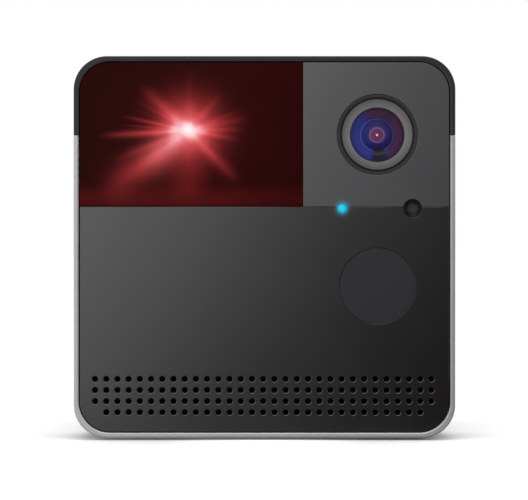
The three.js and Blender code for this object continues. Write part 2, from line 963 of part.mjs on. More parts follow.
addPiece(body, "laser_housing", makeLaserHousing(), blackPlastic);
addPiece(laserUnit, "pan_pivot_cap", makePivotCap(), steel);
addPiece(laserUnit, "pan_motor", makePanMotor(), steel);
addPiece(laserUnit, "pan_pinion", makePanPinion(), brass);
addPiece(panUnit, "pan_yoke", makePanYoke(), nylonWhite);
addPiece(panUnit, "tilt_motor", makeTiltMotor(), steel);
addPiece(panUnit, "tilt_pinion", makeTiltPinion(), brass);
addPiece(tiltUnit, "tilt_gear", makeTiltGear(), nylonWhite);
addPiece(tiltUnit, "laser_carriage", makeLaserCarriage(), blackPlastic);
addPiece(tiltUnit, "laser_barrel", makeLaserBarrel(), brass);
addPiece(tiltUnit, "laser_lens", makeLaserLens(), redWindow);

// Front frame

const cameraBoardY = panelFrontY + bezelConeDepth + bezelLip + lensLength + holderCavityDepth;
const nightBoardY = frameBackY + nightCollarDepth + seatGap;
const pipeFlangeY = frameBackY + seatGap;
const indicatorBoardY =
  pipeFlangeY + pipeFlangeThickness + indicatorGap + indicatorChipThickness + seatGap;
const slotRight = grilleRight - micRoom;
const micX = slotRight + slotMargin + micRadius + 2 * micCollarWall;
const micZ = (grilleBottom + grilleTop) / 2;
const frontPostX = bodyWidth / 2 - frontPostInset;
const cameraPostX = cameraBoardWidth / 2 - cameraPostRadius;
const cameraPostZ = cameraBoardHeight / 2 - cameraPostRadius;
const indicatorPostX = indicatorBoardWidth / 2 - indicatorPostRadius;
const frameScrewSeat = frameFrontY + screwHeadHeight + screwHeadSink;

function frameOpenings() {
  const reach = [frameFrontY - cutOverrun, frameBackY + cutOverrun];
  const slot = roundedOutline(
    grilleLeft - grilleHole - slotMargin,
    grilleBottom - grilleHole - slotMargin,
    slotRight,
    grilleTop + grilleHole + slotMargin,
    grilleHole + slotMargin,
    smallCornerSteps,
  );
  const cloth = block(
    grilleLeft - grilleHole - slotMargin - clothMargin - slipFit,
    frameFrontY - cutOverrun,
    grilleBottom - grilleHole - slotMargin - clothMargin - slipFit,
    grilleRight + grilleHole + slotMargin + clothMargin + slipFit,
    frameFrontY + clothThickness + seatGap,
    grilleTop + grilleHole + slotMargin + clothMargin + slipFit,
  );
  const screwHoles = [-1, 1].flatMap((side) => [
    barY(side * frontPostX, frontPostHeight, screwRadius + screwGap, ...reach, tinySides),
    barY(
      side * frontPostX,
      frontPostHeight,
      screwHeadRadius + screwGap,
      frameFrontY - cutOverrun,
      frameScrewSeat,
      smallSides,
    ),
  ]);
  return join(
    along(housingOutline(housingWall), ...reach),
    barY(cameraX, cameraZ, bezelTubeRadius + slipFit, ...reach),
    barY(cameraX, nightZ, nightRadius - nightLedge, ...reach),
    barY(statusX, indicatorZ, statusRadius + seatGap, ...reach, smallSides),
    barY(lightSensorX, indicatorZ, lightSensorDish + seatGap, ...reach, smallSides),
    barY(micX, micZ, micSoundHole, ...reach, tinySides),
    along(slot, ...reach),
    cloth,
    ...screwHoles,
  );
}

function makeFrontFrame() {
  const rootY = frameBackY - frameThickness / 2;
  const skirt = cut(
    along(bodyOutline(liningInset), frameFrontY, skirtEndY),
    along(bodyOutline(liningInset + frameSkirtWall), frameBackY, skirtEndY + cutOverrun),
  );
  const nightCollar = cut(
    barY(
      cameraX,
      nightZ,
      nightRadius - nightLedge + nightCollarWall,
      rootY,
      frameBackY + nightCollarDepth,
    ),
    barY(
      cameraX,
      nightZ,
      nightRadius - nightLedge,
      rootY - cutOverrun,
      frameBackY + nightCollarDepth + cutOverrun,
    ),
  );
  const micCollar = cut(
    barY(micX, micZ, micRadius + slipFit + micCollarWall, rootY, frameBackY + micLength, smallSides),
    barY(
      micX,
      micZ,
      micRadius + slipFit,
      frameBackY,
      frameBackY + micLength + cutOverrun,
      smallSides,
    ),
  );
  const cameraPosts = [
    [-1, 1],
    [1, -1],
  ].map(([sx, sz]) =>
    barY(
      cameraX + sx * cameraPostX,
      cameraZ + sz * cameraPostZ,
      cameraPostRadius,
      rootY,
      cameraBoardY - seatGap,
      tinySides,
    ),
  );
  const indicatorPosts = [-1, 1].map((side) =>
    barY(
      cameraX + side * indicatorPostX,
      indicatorZ,
      indicatorPostRadius,
      rootY,
      indicatorBoardY - seatGap,
      tinySides,
    ),
  );
  return cut(
    join(skirt, nightCollar, micCollar, ...cameraPosts, ...indicatorPosts),
    frameOpenings(),
  );
}

function makeGrilleCloth() {
  const margin = grilleHole + slotMargin + clothMargin;
  return block(
    grilleLeft - margin,
    frameFrontY,
    grilleBottom - margin,
    grilleRight + margin,
    frameFrontY + clothThickness,
    grilleTop + margin,
  );
}

const makeMicrophone = () =>
  barY(micX, micZ, micRadius, frameBackY + seatGap, frameBackY + seatGap + micLength, smallSides);

addPiece(body, "front_frame", makeFrontFrame(), blackPlastic);
addPiece(body, "grille_cloth", makeGrilleCloth(), clothBlack);
addPiece(body, "microphone", makeMicrophone(), steel);

// Lens, its bezel, its holder, the filter shuttle and the camera board

const cameraUnit = unitAt(body, cameraX, panelFrontY, cameraZ);
const lensFace = bezelConeDepth + bezelLip;
const lensHeadRadius = bezelMouth + lensHeadWall;
const lensThreadRadius = lensHeadRadius - lensThreadStep;
const lensGlassRadius = bezelMouth - lensRimGap;
const holderTubeFront = lensFace + lensHeadLength + seatGap + slipFit;
const lensEnd = lensFace + lensLength;
const holderBoxFront = lensEnd - holderWall - seatGap;
const holderBack = lensEnd + holderCavityDepth - seatGap;
const shuttleWidth = 2 * filterWindow + 3 * filterBar;
const shuttleRoom = shuttleWidth + filterTravel + 2 * slipFit;
const holderWidth = shuttleRoom + 2 * holderWall;

function makeLensBezel() {
  const tubeInner = bezelTubeRadius - bezelTubeWall + slipFit;
  return turned(
    [
      [bezelMouth, bezelConeDepth],
      [bezelConeRadius, 0],
      [bezelConeRadius, bezelGrooveDepth],
      [bezelGrooveRadius, bezelGrooveDepth],
      [bezelGrooveRadius, 0],
      [bezelRadius, 0],
      [bezelRadius, panelThickness],
      [bezelTubeRadius, panelThickness],
      [bezelTubeRadius, bezelTubeLength],
      [tubeInner, bezelTubeLength],
      [tubeInner, bezelConeDepth + bezelLip - seatGap],
      [bezelMouth, bezelConeDepth + bezelLip - seatGap],
    ],
    fineSides,
  );
}

function makeLensBarrel() {
  const step = lensCavityRadius + lensCavityStep;
  const middle = lensFace + lensCavityDepth / 2;
  const bottom = lensFace + lensCavityDepth;
  return turned([
    [0, bottom],
    [lensCavityRadius, bottom],
    [lensCavityRadius, middle],
    [step, middle],
    [lensGlassRadius - lensRimGap, lensFace],
    [lensHeadRadius, lensFace],
    [lensHeadRadius, lensFace + lensHeadLength],
    [lensThreadRadius, lensFace + lensHeadLength],
    [lensThreadRadius, lensEnd],
    [0, lensEnd],
  ]);
}

// A shallow dome over a short rim.
function makeLensGlass() {
  const back = lensFace - seatGap;
  const domeSteps = 5;
  const profile = [
    [0, back],
    [lensGlassRadius, back],
  ];
  for (let i = domeSteps; i >= 0; i -= 1) {
    const share = i / domeSteps;
    profile.push([lensGlassRadius * share, lensDomeRecess + lensDomeRise * share * share]);
  }
  return turned(profile);
}

function makeLensHolder() {
  const tubeRadius = lensThreadRadius + seatGap + holderTubeWall;
  const half = holderWidth / 2;
  const tube = barY(0, 0, tubeRadius, holderTubeFront, holderBoxFront + holderWall / 2);
  const box = block(
    -half,
    holderBoxFront,
    -holderHeight / 2,
    half,
    holderBack,
    holderHeight / 2,
  );
  const cavityHalf = shuttleRoom / 2;
  const cavityHeight = filterHeight / 2 + slipFit;
  return cut(
    join(tube, box),
    barY(0, 0, lensThreadRadius + seatGap, holderTubeFront - cutOverrun, lensEnd + seatGap),
    block(
      -cavityHalf,
      lensEnd - seatGap,
      -cavityHeight,
      cavityHalf,
      holderBack + cutOverrun,
      cavityHeight,
    ),
  );
}

// A plate with two windows: a coated filter by day and plain glass by night.
function makeShuttle() {
  const left = -filterWindow / 2 - filterBar;
  const pitch = filterWindow + filterBar;
  const front = lensEnd + filterGap;
  const plate = block(
    left - pitch,
    front,
    -filterHeight / 2,
    left - pitch + shuttleWidth,
    front + filterThickness,
    filterHeight / 2,
  );
  const rim = filterThickness / 3;
  const pockets = [0, -pitch].map((x) =>
    block(
      x - filterWindow / 2,
      front - cutOverrun,
      -filterWindow / 2,
      x + filterWindow / 2,
      front + rim,
      filterWindow / 2,
    ),
  );
  return cut(plate, ...pockets);
}

function makeCameraBoard() {
  const front = lensEnd + holderCavityDepth;
  return along(
    roundedOutline(
      -cameraBoardWidth / 2,
      -cameraBoardHeight / 2,
      cameraBoardWidth / 2,
      cameraBoardHeight / 2,
      cameraPostRadius,
      smallCornerSteps,
    ),
    front,
    front + boardThickness,
  );
}

function makeImageSensor() {
  const back = lensEnd + holderCavityDepth - seatGap;
  return block(
    -sensorWidth / 2,
    back - sensorThickness,
    -sensorHeight / 2,
    sensorWidth / 2,
    back,
    sensorHeight / 2,
  );
}

addPiece(cameraUnit, "lens_bezel", makeLensBezel(), blackPlastic);
addPiece(cameraUnit, "lens_barrel", makeLensBarrel(), blackPlastic);
addPiece(cameraUnit, "lens_front_glass", makeLensGlass(), darkGlass);
addPiece(cameraUnit, "lens_holder", makeLensHolder(), blackPlastic);
addPiece(cameraUnit, "ir_filter_shuttle", makeShuttle(), darkGlass);
addPiece(cameraUnit, "camera_board", makeCameraBoard(), boardGreen);
addPiece(cameraUnit, "image_sensor", makeImageSensor(), darkGlass);

// Night light

const nightUnit = unitAt(body, cameraX, 0, nightZ);

function makeNightLed() {
  const back = nightBoardY - seatGap;
  const shoulder = back - nightLedLength + nightLedRadius;
  const domeSteps = 4;
  const profile = [
    [0, back],
    [nightLedRadius, back],
  ];
  for (let i = 0; i <= domeSteps; i += 1) {
    const angle = (i / domeSteps) * rearwards;
    profile.push([
      i === domeSteps ? 0 : nightLedRadius * Math.cos(angle),
      shoulder - nightLedRadius * Math.sin(angle),
    ]);
  }
  return turned(profile, tinySides);
}

addPiece(
  nightUnit,
  "night_window",
  barY(0, 0, nightRadius, panelFrontY, panelBackY, fineSides),
  nightPlastic,
);
addPiece(
  nightUnit,
  "night_board",
  barY(
    0,
    0,
    nightRadius - nightLedge + nightCollarWall,
    nightBoardY,
    nightBoardY + boardThickness,
  ),
  boardGreen,
);
for (let i = 0; i < nightLedCount; i += 1) {
  const angle = ((i + 0.5) * 2 * Math.PI) / nightLedCount;
  const led = addPiece(nightUnit, `night_led_${i + 1}`, makeNightLed(), clearEpoxy);
  led.position.set(nightLedCircle * Math.cos(angle), 0, nightLedCircle * Math.sin(angle));
}

// Status light and light sensor

const indicatorUnit = unitAt(body, cameraX, 0, indicatorZ);

function makeStatusPipe() {
  return turned(
    [
      [0, panelFrontY],
      [statusRadius, panelFrontY],
      [statusRadius, pipeFlangeY],
      [statusRadius + pipeFlangeWidth, pipeFlangeY],
      [statusRadius + pipeFlangeWidth, pipeFlangeY + pipeFlangeThickness],
      [0, pipeFlangeY + pipeFlangeThickness],
    ],
    smallSides,
  );
}

// A dished cap in the face, with a stem through the frame.
function makeLightSensorWindow() {
  return turned(
    [
      [0, panelFrontY + lightSensorDishDepth],
      [lightSensorDish, panelFrontY + lightSensorDishDepth],
      [lightSensorRadius, panelFrontY],
      [lightSensorRadius, panelBackY],
      [lightSensorDish, panelBackY],
      [lightSensorDish, pipeFlangeY],
      [lightSensorDish + pipeFlangeWidth, pipeFlangeY],
      [lightSensorDish + pipeFlangeWidth, pipeFlangeY + pipeFlangeThickness],
      [0, pipeFlangeY + pipeFlangeThickness],
    ],
    smallSides,
  );
}

function makeIndicatorBoard() {
  return block(
    -indicatorBoardWidth / 2,
    indicatorBoardY,
    -indicatorBoardHeight / 2,
    indicatorBoardWidth / 2,
    indicatorBoardY + boardThickness,
    indicatorBoardHeight / 2,
  );
}

function makeIndicatorChip() {
  const half = indicatorChip / 2;
  const back = indicatorBoardY - seatGap;
  return block(-half, back - indicatorChipThickness, -half, half, back, half);
}

const statusPipe = addPiece(indicatorUnit, "status_light_pipe", makeStatusPipe(), cyanLight);
statusPipe.position.x = -indicatorSpacing / 2;
const sensorCap = addPiece(
  indicatorUnit,
  "light_sensor_window",
  makeLightSensorWindow(),
  nightPlastic,
);
sensorCap.position.x = indicatorSpacing / 2;
addPiece(indicatorUnit, "indicator_board", makeIndicatorBoard(), boardGreen);
const statusLed = addPiece(indicatorUnit, "status_led", makeIndicatorChip(), cyanLight);
statusLed.position.x = -indicatorSpacing / 2;
const lightSensor = addPiece(indicatorUnit, "light_sensor", makeIndicatorChip(), darkGlass);
lightSensor.position.x = indicatorSpacing / 2;

// Chassis: a floor tray and a bulkhead, with posts for the covers, the boards and the tripod insert

const bulkheadFrontY = housingBackY + seatGap;
const bulkheadBackY = bulkheadFrontY + bulkheadThickness;
const mainBoardY = bulkheadBackY + standoffLength;
const screwPostX = bodyWidth / 2 - screwPostInset;
const screwPostLow = screwPostInset;
const screwPostHigh = bodyHeight - screwPostInset;
const mainBoardHalf = screwPostX - screwPostRadius - 2 * slipFit;
const mainBoardTop = bodyHeight - mainBoardTopInset;
const standoffX = mainBoardHalf - standoffInset;
const powerBoardZ = trayTopZ + powerBoardLift;
const powerBoardBack = coverSkirtY - slipFit;
const powerBoardFront = powerBoardBack - powerBoardLength;
const boltCircle = [
  [-screwPostX, screwPostLow],
  [screwPostX, screwPostLow],
  [-screwPostX, screwPostHigh],
  [screwPostX, screwPostHigh],
];
const standoffPlaces = [
  [-standoffX, mainBoardLift + standoffInset],
  [standoffX, mainBoardLift + standoffInset],
  [-standoffX, mainBoardTop - standoffInset],
  [standoffX, mainBoardTop - standoffInset],
];

function chassisPosts() {
  const root = bulkheadFrontY + bulkheadThickness / 2;
  const rearPosts = boltCircle.map(([x, z]) =>
    barY(x, z, screwPostRadius, root, coverFrontY - seatGap, smallSides),
  );
  const frontPosts = [-1, 1].map((side) =>
    barY(
      side * frontPostX,
      frontPostHeight,
      frontPostRadius,
      frameBackY + seatGap,
      root,
      smallSides,
    ),
  );
  const standoffs = standoffPlaces.flatMap(([x, z]) => [
    barY(x, z, standoffRadius, root, mainBoardY - seatGap, tinySides),
    barY(x, z, stakeRadius, root, mainBoardY + mainBoardThickness + stakeProud, tinySides),
  ]);
  const powerPosts = [-1, 1].map((side) =>
    barZ(
      side * (powerBoardWidth / 2 - powerPostInset),
      (powerBoardFront + powerBoardBack) / 2,
      powerPostRadius,
      trayBottomZ + trayThickness / 2,
      powerBoardZ - seatGap,
      tinySides,
    ),
  );
  return [...rearPosts, ...frontPosts, ...standoffs, ...powerPosts];
}

function makeChassis() {
  const trayHalf = bodyWidth / 2 - bodyCorner;
  const tray = block(
    -trayHalf,
    skirtEndY + slipFit,
    trayBottomZ,
    trayHalf,
    coverSkirtY - slipFit,
    trayTopZ,
  );
  const bulkhead = along(bodyOutline(liningInset), bulkheadFrontY, bulkheadBackY);
  const insertRadius = tripodBore + tripodWall + slipFit;
  const insertTop = tripodLength + tripodRoof + seatGap;
  const boss = barZ(
    0,
    0,
    insertRadius + tripodBossWall,
    trayBottomZ + trayThickness / 2,
    insertTop + tripodRoof,
  );
  const insertRoom = barZ(0, 0, insertRadius, -cutOverrun, insertTop);
  const pilots = boltCircle.map(([x, z]) =>
    barY(
      x,
      z,
      screwRadius + seatGap,
      coverFrontY - screwLength,
      coverFrontY + cutOverrun,
      tinySides,
    ),
  );
  const frontPilots = [-1, 1].map((side) =>
    barY(
      side * frontPostX,
      frontPostHeight,
      screwRadius + seatGap,
      frameBackY - cutOverrun,
      frameScrewSeat + screwLength + slipFit,
      tinySides,
    ),
  );
  const notches = [-1, 1].map((side) =>
    block(
      side * cameraX - cableNotchWidth / 2,
      bulkheadFrontY - cutOverrun,
      trayTopZ + cableNotchHeight,
      side * cameraX + cableNotchWidth / 2,
      bulkheadBackY + cutOverrun,
      trayTopZ + 2 * cableNotchHeight,
    ),
  );
  return cut(
    join(tray, bulkhead, boss, ...chassisPosts()),
    insertRoom,
    ...pilots,
    ...frontPilots,
    ...notches,
  );
}

addPiece(body, "chassis", makeChassis(), blackPlastic);

// Screws: a round head and a plain shank that points to the rear

function makeScrew() {
  const profile = [
    [0, 0],
    [screwHeadRadius, 0],
    [screwHeadRadius, screwHeadHeight],
    [screwRadius, screwHeadHeight],
    [screwRadius, screwHeadHeight + screwLength - slipFit],
    [0, screwHeadHeight + screwLength - slipFit],
  ];
  return turned(profile, tinySides);
}

[-1, 1].forEach((side, index) => {
  const screw = addPiece(body, `frame_screw_${index + 1}`, makeScrew(), steel);
  screw.position.set(
    side * frontPostX,
    frameScrewSeat - screwHeadHeight - seatGap,
    frontPostHeight,
  );
});
const rearScrewSeat = coverBackY - screwHeadHeight - screwHeadSink;
boltCircle.forEach(([x, z], index) => {
  const screw = addPiece(body, `rear_screw_${index + 1}`, makeScrew(), steel);
  screw.rotation.z = Math.PI;
  screw.position.set(x, rearScrewSeat + screwHeadHeight + seatGap, z);
});

// Main board

function makeMainBoard() {
  const plate = along(
    roundedOutline(
      -mainBoardHalf,
      mainBoardLift,
      mainBoardHalf,
      mainBoardTop,
      standoffRadius,
      smallCornerSteps,
    ),
    mainBoardY,
    mainBoardY + mainBoardThickness,
  );
  const holes = standoffPlaces.map(([x, z]) =>
    barY(
      x,
      z,
      stakeRadius + slipFit,
      mainBoardY - cutOverrun,
      mainBoardY + mainBoardThickness + cutOverrun,
      tinySides,
    ),
  );
  return cut(plate, ...holes);
}

const mainBoardFace = mainBoardY + mainBoardThickness + seatGap;
const boardBox = (right, top, width, height, rise) =>
  block(right - width, mainBoardFace, top - height, right, mainBoardFace + rise, top);

function makeAntenna() {
  const top = bodyHeight - hoodInset - seatGap;
  const backY = hoodBackY - hoodLipReach;
  return block(
    cameraX - antennaWidth / 2,
    backY - antennaLength,
    top - antennaThickness,
    cameraX + antennaWidth / 2,
    backY,
    top,
  );
}

addPiece(body, "main_board", makeMainBoard(), boardGreen);
addPiece(
  body,
  "processor_shield",
  boardBox(
    processorSide / 2 - processorOffset,
    mainBoardTop - processorTopInset,
    processorSide,
    processorSide,
    processorHeight,
  ),
  steel,
);
addPiece(
  body,
  "radio_module",
  boardBox(
    mainBoardHalf - radioSideInset,
    mainBoardTop - radioTopInset,
    radioWidth,
    radioLength,
    radioHeight,
  ),
  steel,
);
addPiece(body, "antenna_strip", makeAntenna(), brass);

// Speaker

const speakerLeft = -(bodyWidth / 2 - speakerSideInset);
const speakerRight = cameraX - nightRadius + nightLedge - nightCollarWall - 2 * slipFit;
const speakerBottom = trayTopZ + slipFit;
const speakerTop = speakerBottom + speakerBoxHeight;
const speakerFrontY = frameBackY + seatGap;
const speakerUnit = unitAt(
  body,
  (speakerLeft + speakerRight) / 2,
  speakerFrontY,
  (speakerBottom + speakerTop) / 2,
);
const speakerHalfWidth = (speakerRight - speakerLeft) / 2;
const speakerHalfHeight = speakerBoxHeight / 2;
const speakerOutline = (inset) =>
  roundedOutline(
    -speakerHalfWidth + inset,
    -speakerHalfHeight + inset,
    speakerHalfWidth - inset,
    speakerHalfHeight - inset,
    speakerCorner - inset,
    smallCornerSteps,
  );

// The cone's own outline has half-round ends.
const coneOutline = (inset) =>
  roundedOutline(
    -speakerHalfWidth + inset,
    -speakerHalfHeight + inset,
    speakerHalfWidth - inset,
    speakerHalfHeight - inset,
    speakerHalfHeight - inset - seatGap,
    smallCornerSteps,
  );

function makeSpeakerBox() {
  return cut(
    along(speakerOutline(0), 0, speakerBoxDepth),
    along(speakerOutline(speakerWall), -cutOverrun, speakerBoxDepth - speakerWall),
  );
}

// A frustum between two outlines with the same number of points, closed at both ends.
function lofted(frontOutline, backOutline, fromY, toY) {
  const vertices = [];
  const count = frontOutline.length;
  const add = (p, y) => vertices.push(p.x, y, p.y);
  const flat = THREE.ShapeUtils.triangulateShape(frontOutline, []);
  for (const [a, b, c] of flat) {
    [a, b, c].forEach((i) => add(frontOutline[i], fromY));
    [c, b, a].forEach((i) => add(backOutline[i], toY));
  }
  for (let i = 0; i < count; i += 1) {
    const j = (i + 1) % count;
    add(frontOutline[j], fromY);
    add(frontOutline[i], fromY);
    add(backOutline[i], toY);
    add(frontOutline[j], fromY);
    add(backOutline[i], toY);
    add(backOutline[j], toY);
  }
  const geometry = new THREE.BufferGeometry();
  geometry.setAttribute("position", new THREE.Float32BufferAttribute(vertices, 3));
  return toSolid(geometry);
}

const basketInset = speakerWall + slipFit;
const coneFrontInset = basketInset + basketRim;
const coneBackInset = coneFrontInset + coneDepth;

function makeSpeakerBasket() {
  const flange = along(speakerOutline(basketInset), 0, basketFlange);
  const bowl = lofted(
    coneOutline(basketInset),
    coneOutline(basketInset + basketTaper),
    basketFlange / 2,
    basketDepth + basketFlange,
  );
  const mouth = lofted(
    coneOutline(coneFrontInset - coneWall),
    coneOutline(coneBackInset),
    -seatGap,
    coneDepth + coneWall,
  );
  return cut(join(flange, bowl), mouth);
}

function makeSpeakerCone() {
  const outside = lofted(
    coneOutline(coneFrontInset),
    coneOutline(coneBackInset + coneWall),
    0,
    coneDepth,
  );
  const hollow = lofted(
    coneOutline(coneFrontInset + coneWall),
    coneOutline(coneBackInset + 2 * coneWall),
    -seatGap,
    coneDepth - coneWall,
  );
  return cut(outside, hollow);
}

const makeMagnet = () =>
  barY(
    0,
    0,
    magnetRadius,
    basketFlange + basketDepth + seatGap,
    basketFlange + basketDepth + seatGap + magnetLength,
  );

addPiece(speakerUnit, "speaker_box", makeSpeakerBox(), blackPlastic);
addPiece(speakerUnit, "speaker_basket", makeSpeakerBasket(), blackPlastic);
addPiece(speakerUnit, "speaker_cone", makeSpeakerCone(), paperCone);
addPiece(speakerUnit, "speaker_magnet", makeMagnet(), steel);

// Rear cover, power socket and pairing button

const socketZ = powerBoardZ + boardThickness + seatGap + socketHeight / 2;
const buttonZ = powerBoardZ + boardThickness + seatGap + switchSide / 2;
const plugFloorY = coverBackY - plugRecessDepth;
const switchBackY = coverFrontY - buttonFlangeThickness - switchStandback;
const switchRoomDepth = buttonStemEntry + buttonTravel + slipFit;

function makeRearCover() {
  const plate = cut(
    along(bodyOutline(liningInset), coverSkirtY, coverBackY, edgeBreak),
    along(bodyOutline(liningInset + coverSkirtWall), coverSkirtY - cutOverrun, coverFrontY),
  );
  const screwHoles = boltCircle.flatMap(([x, z]) => [
    barY(x, z, screwRadius + screwGap, coverFrontY - cutOverrun, coverBackY + cutOverrun, tinySides),
    barY(x, z, screwHeadRadius + screwGap, rearScrewSeat, coverBackY + cutOverrun, smallSides),
  ]);
  const plugRecess = along(
    roundedOutline(
      -plugRecessWidth / 2,
      socketZ - plugRecessHeight / 2,
      plugRecessWidth / 2,
      socketZ + plugRecessHeight / 2,
      plugRecessCorner,
      smallCornerSteps,
    ),
    plugFloorY,
    coverBackY + cutOverrun,
  );
  const socketHole = block(
    -socketWidth / 2 - slipFit,
    coverFrontY - cutOverrun,
    socketZ - socketHeight / 2 - slipFit,
    socketWidth / 2 + slipFit,
    coverBackY + cutOverrun,
    socketZ + socketHeight / 2 + slipFit,
  );
  const buttonHole = barY(
    buttonOffset,
    buttonZ,
    buttonRadius + slipFit,
    coverFrontY - cutOverrun,
    coverBackY + cutOverrun,
  );
  return cut(plate, ...screwHoles, plugRecess, socketHole, buttonHole);
}

// A steel shell open to the rear, with the contact tongue inside it.
function makePowerSocket() {
  const back = plugFloorY - seatGap;
  const front = back - socketLength;
  const half = socketWidth / 2;
  const shell = cut(
    block(-half, front, socketZ - socketHeight / 2, half, back, socketZ + socketHeight / 2),
    block(
      -half + socketWall,
      back - socketMouthDepth,
      socketZ - socketHeight / 2 + socketWall,
      half - socketWall,
      back + cutOverrun,
      socketZ + socketHeight / 2 - socketWall,
    ),
  );
  const tongue = block(
    -tongueWidth / 2,
    back - socketMouthDepth - socketWall,
    socketZ - tongueThickness / 2,
    tongueWidth / 2,
    back - socketMouthDepth + tongueLength,
    socketZ + tongueThickness / 2,
  );
  return join(shell, tongue);
}

function makePowerBoard() {
  const half = powerBoardWidth / 2;
  return block(
    -half,
    powerBoardFront,
    powerBoardZ,
    half,
    powerBoardBack,
    powerBoardZ + boardThickness,
  );
}

function makePairingSwitch() {
  const half = switchSide / 2;
  return cut(
    block(-half, switchBackY - switchDepth, -half, half, switchBackY, half),
    barY(
      0,
      0,
      buttonStemRadius + runningGap,
      switchBackY - switchRoomDepth,
      switchBackY + cutOverrun,
      smallSides,
    ),
  );
}

function makePairingButton() {
  const flangeBack = coverFrontY - seatGap;
  const flangeFront = flangeBack - buttonFlangeThickness;
  const dish = buttonProud / 2;
  return turned(
    [
      [0, switchBackY - buttonStemEntry],
      [buttonStemRadius, switchBackY - buttonStemEntry],
      [buttonStemRadius, flangeFront],
      [buttonRadius + buttonFlangeWidth, flangeFront],
      [buttonRadius + buttonFlangeWidth, flangeBack],
      [buttonRadius, flangeBack],
      [buttonRadius, coverBackY + buttonProud - dish],
      [buttonRadius - dish, coverBackY + buttonProud],
      [buttonStemRadius, coverBackY + buttonProud - dish],
      [0, coverBackY + buttonProud - dish],
    ],
    roundSides,
  );
}

addPiece(body, "rear_cover", makeRearCover(), blackPlastic);
addPiece(body, "power_board", makePowerBoard(), boardGreen);
addPiece(body, "power_socket", makePowerSocket(), steel);
const buttonUnit = unitAt(body, buttonOffset, 0, buttonZ);
addPiece(buttonUnit, "pairing_switch", makePairingSwitch(), blackPlastic);
addPiece(buttonUnit, "pairing_button", makePairingButton(), hoodPlastic);

export default device;
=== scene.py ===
"""Looks for a cube-shaped pet camera with a red laser dot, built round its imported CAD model."""

import json
import math

import bmesh
import bpy
from bpy.props import FloatProperty, FloatVectorProperty, IntProperty, PointerProperty
from mathutils import Matrix, Vector
from mathutils.geometry import tessellate_polygon


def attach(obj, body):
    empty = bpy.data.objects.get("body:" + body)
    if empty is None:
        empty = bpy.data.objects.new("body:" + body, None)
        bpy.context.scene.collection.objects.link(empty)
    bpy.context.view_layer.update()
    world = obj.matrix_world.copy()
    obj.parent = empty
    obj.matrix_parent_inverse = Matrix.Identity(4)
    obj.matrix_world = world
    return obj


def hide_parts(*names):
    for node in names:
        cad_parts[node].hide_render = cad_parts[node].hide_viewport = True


bl_info = {
    "name": "Laser Pet Camera Looks",
    "version": (1, 0, 0),
    "blender": (4, 5, 0),
    "location": "View3D > Sidebar > Pet Camera",
    "description": "Dresses the pet camera's CAD frame with smooth shells, grille, lens and finishes",
    "category": "Add Mesh",
}

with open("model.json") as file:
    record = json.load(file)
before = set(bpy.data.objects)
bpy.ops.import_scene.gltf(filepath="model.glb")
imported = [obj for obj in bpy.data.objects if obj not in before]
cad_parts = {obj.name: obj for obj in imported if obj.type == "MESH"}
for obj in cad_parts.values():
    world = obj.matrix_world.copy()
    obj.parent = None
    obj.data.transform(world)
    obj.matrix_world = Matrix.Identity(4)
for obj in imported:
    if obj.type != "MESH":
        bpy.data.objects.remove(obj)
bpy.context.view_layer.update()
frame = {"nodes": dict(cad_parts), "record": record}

MM = 0.001

# Body, in millimetres, as in the CAD source. Its corner is a little rounder, as the photo shows it, and the
# joint round the face panels runs parallel to a rounder one still
BODY_HALF = 38.0
BODY_BASE = 0.5
BODY_TOP = 76.5
BODY_CORNER = 6.65
FACE_CORNER = 7.25
SLEEVE_WALL = 1.0
LIP_WALL = 1.03
LIP_DEPTH = 1.2
HOOD_BOTTOM = 60.7
HOOD_BACK = -12.0
HAIR_SEAM = 0.12
FACE_SEAM = 0.03
LINING_INSET = 1.15
LINING_WALL = 0.8
LIP_REACH = 1.5
HOOD_STEP = -29.25
HOOD_BACK_ROUND = 0.12
BEYOND = 40
TRIPOD_BORE = 7.025

# Face panels, and the middles (x, z) of the round parts in them
PANEL_INSET = 1.25
PANEL_FRONT = -37.9
PANEL_BACK = -36.3
SEAM_Z = 46.5
WINDOW_EDGE_X = 7.68
LENS = (22.475, 60.875)
NIGHT = (22.475, 30.75)
STATUS = (15.475, 46.2)
SENSOR = (29.475, 46.2)
BEZEL_RADIUS = 8.0
BEZEL_ROUND = 0.09
NIGHT_RADIUS = 7.55
STATUS_RADIUS = 1.0
SENSOR_RADIUS = 1.8
GRILLE_FIRST_X = -33.7
GRILLE_FIRST_Z = 5.6
SEAT_GAP = 0.05

# Rear
COVER_BACK = 37.5
COVER_FRONT = 35.5
COVER_SKIRT = 32.5
SCREW_X = 31.0
SCREW_Z = (7.5, 69.5)
PLUG_Z = 13.95
PLUG_FLOOR = 36.5
BUTTON = (13.0, 15.5)
BUTTON_RADIUS = 3.0

CORNER_STEPS = 20
ROUND_STEPS = 96
SMOOTH_ANGLE = math.radians(32)
SOFTENED_BEND = math.radians(25)
FLAT_SHARE = 3.0
SHARPEST = 0.35
SAME_POINT = 1e-5

# The finishes by name, once they are made
finishes = {}


def colour_property(name, description, default):
    look = {"size": 3, "min": 0, "max": 1, "subtype": "COLOR"}
    return FloatVectorProperty(name=name, description=description, default=default, **look)


def length_property(name, description, millimetres):
    default = millimetres * MM
    return FloatProperty(name=name, description=description, default=default, min=0, unit="LENGTH")


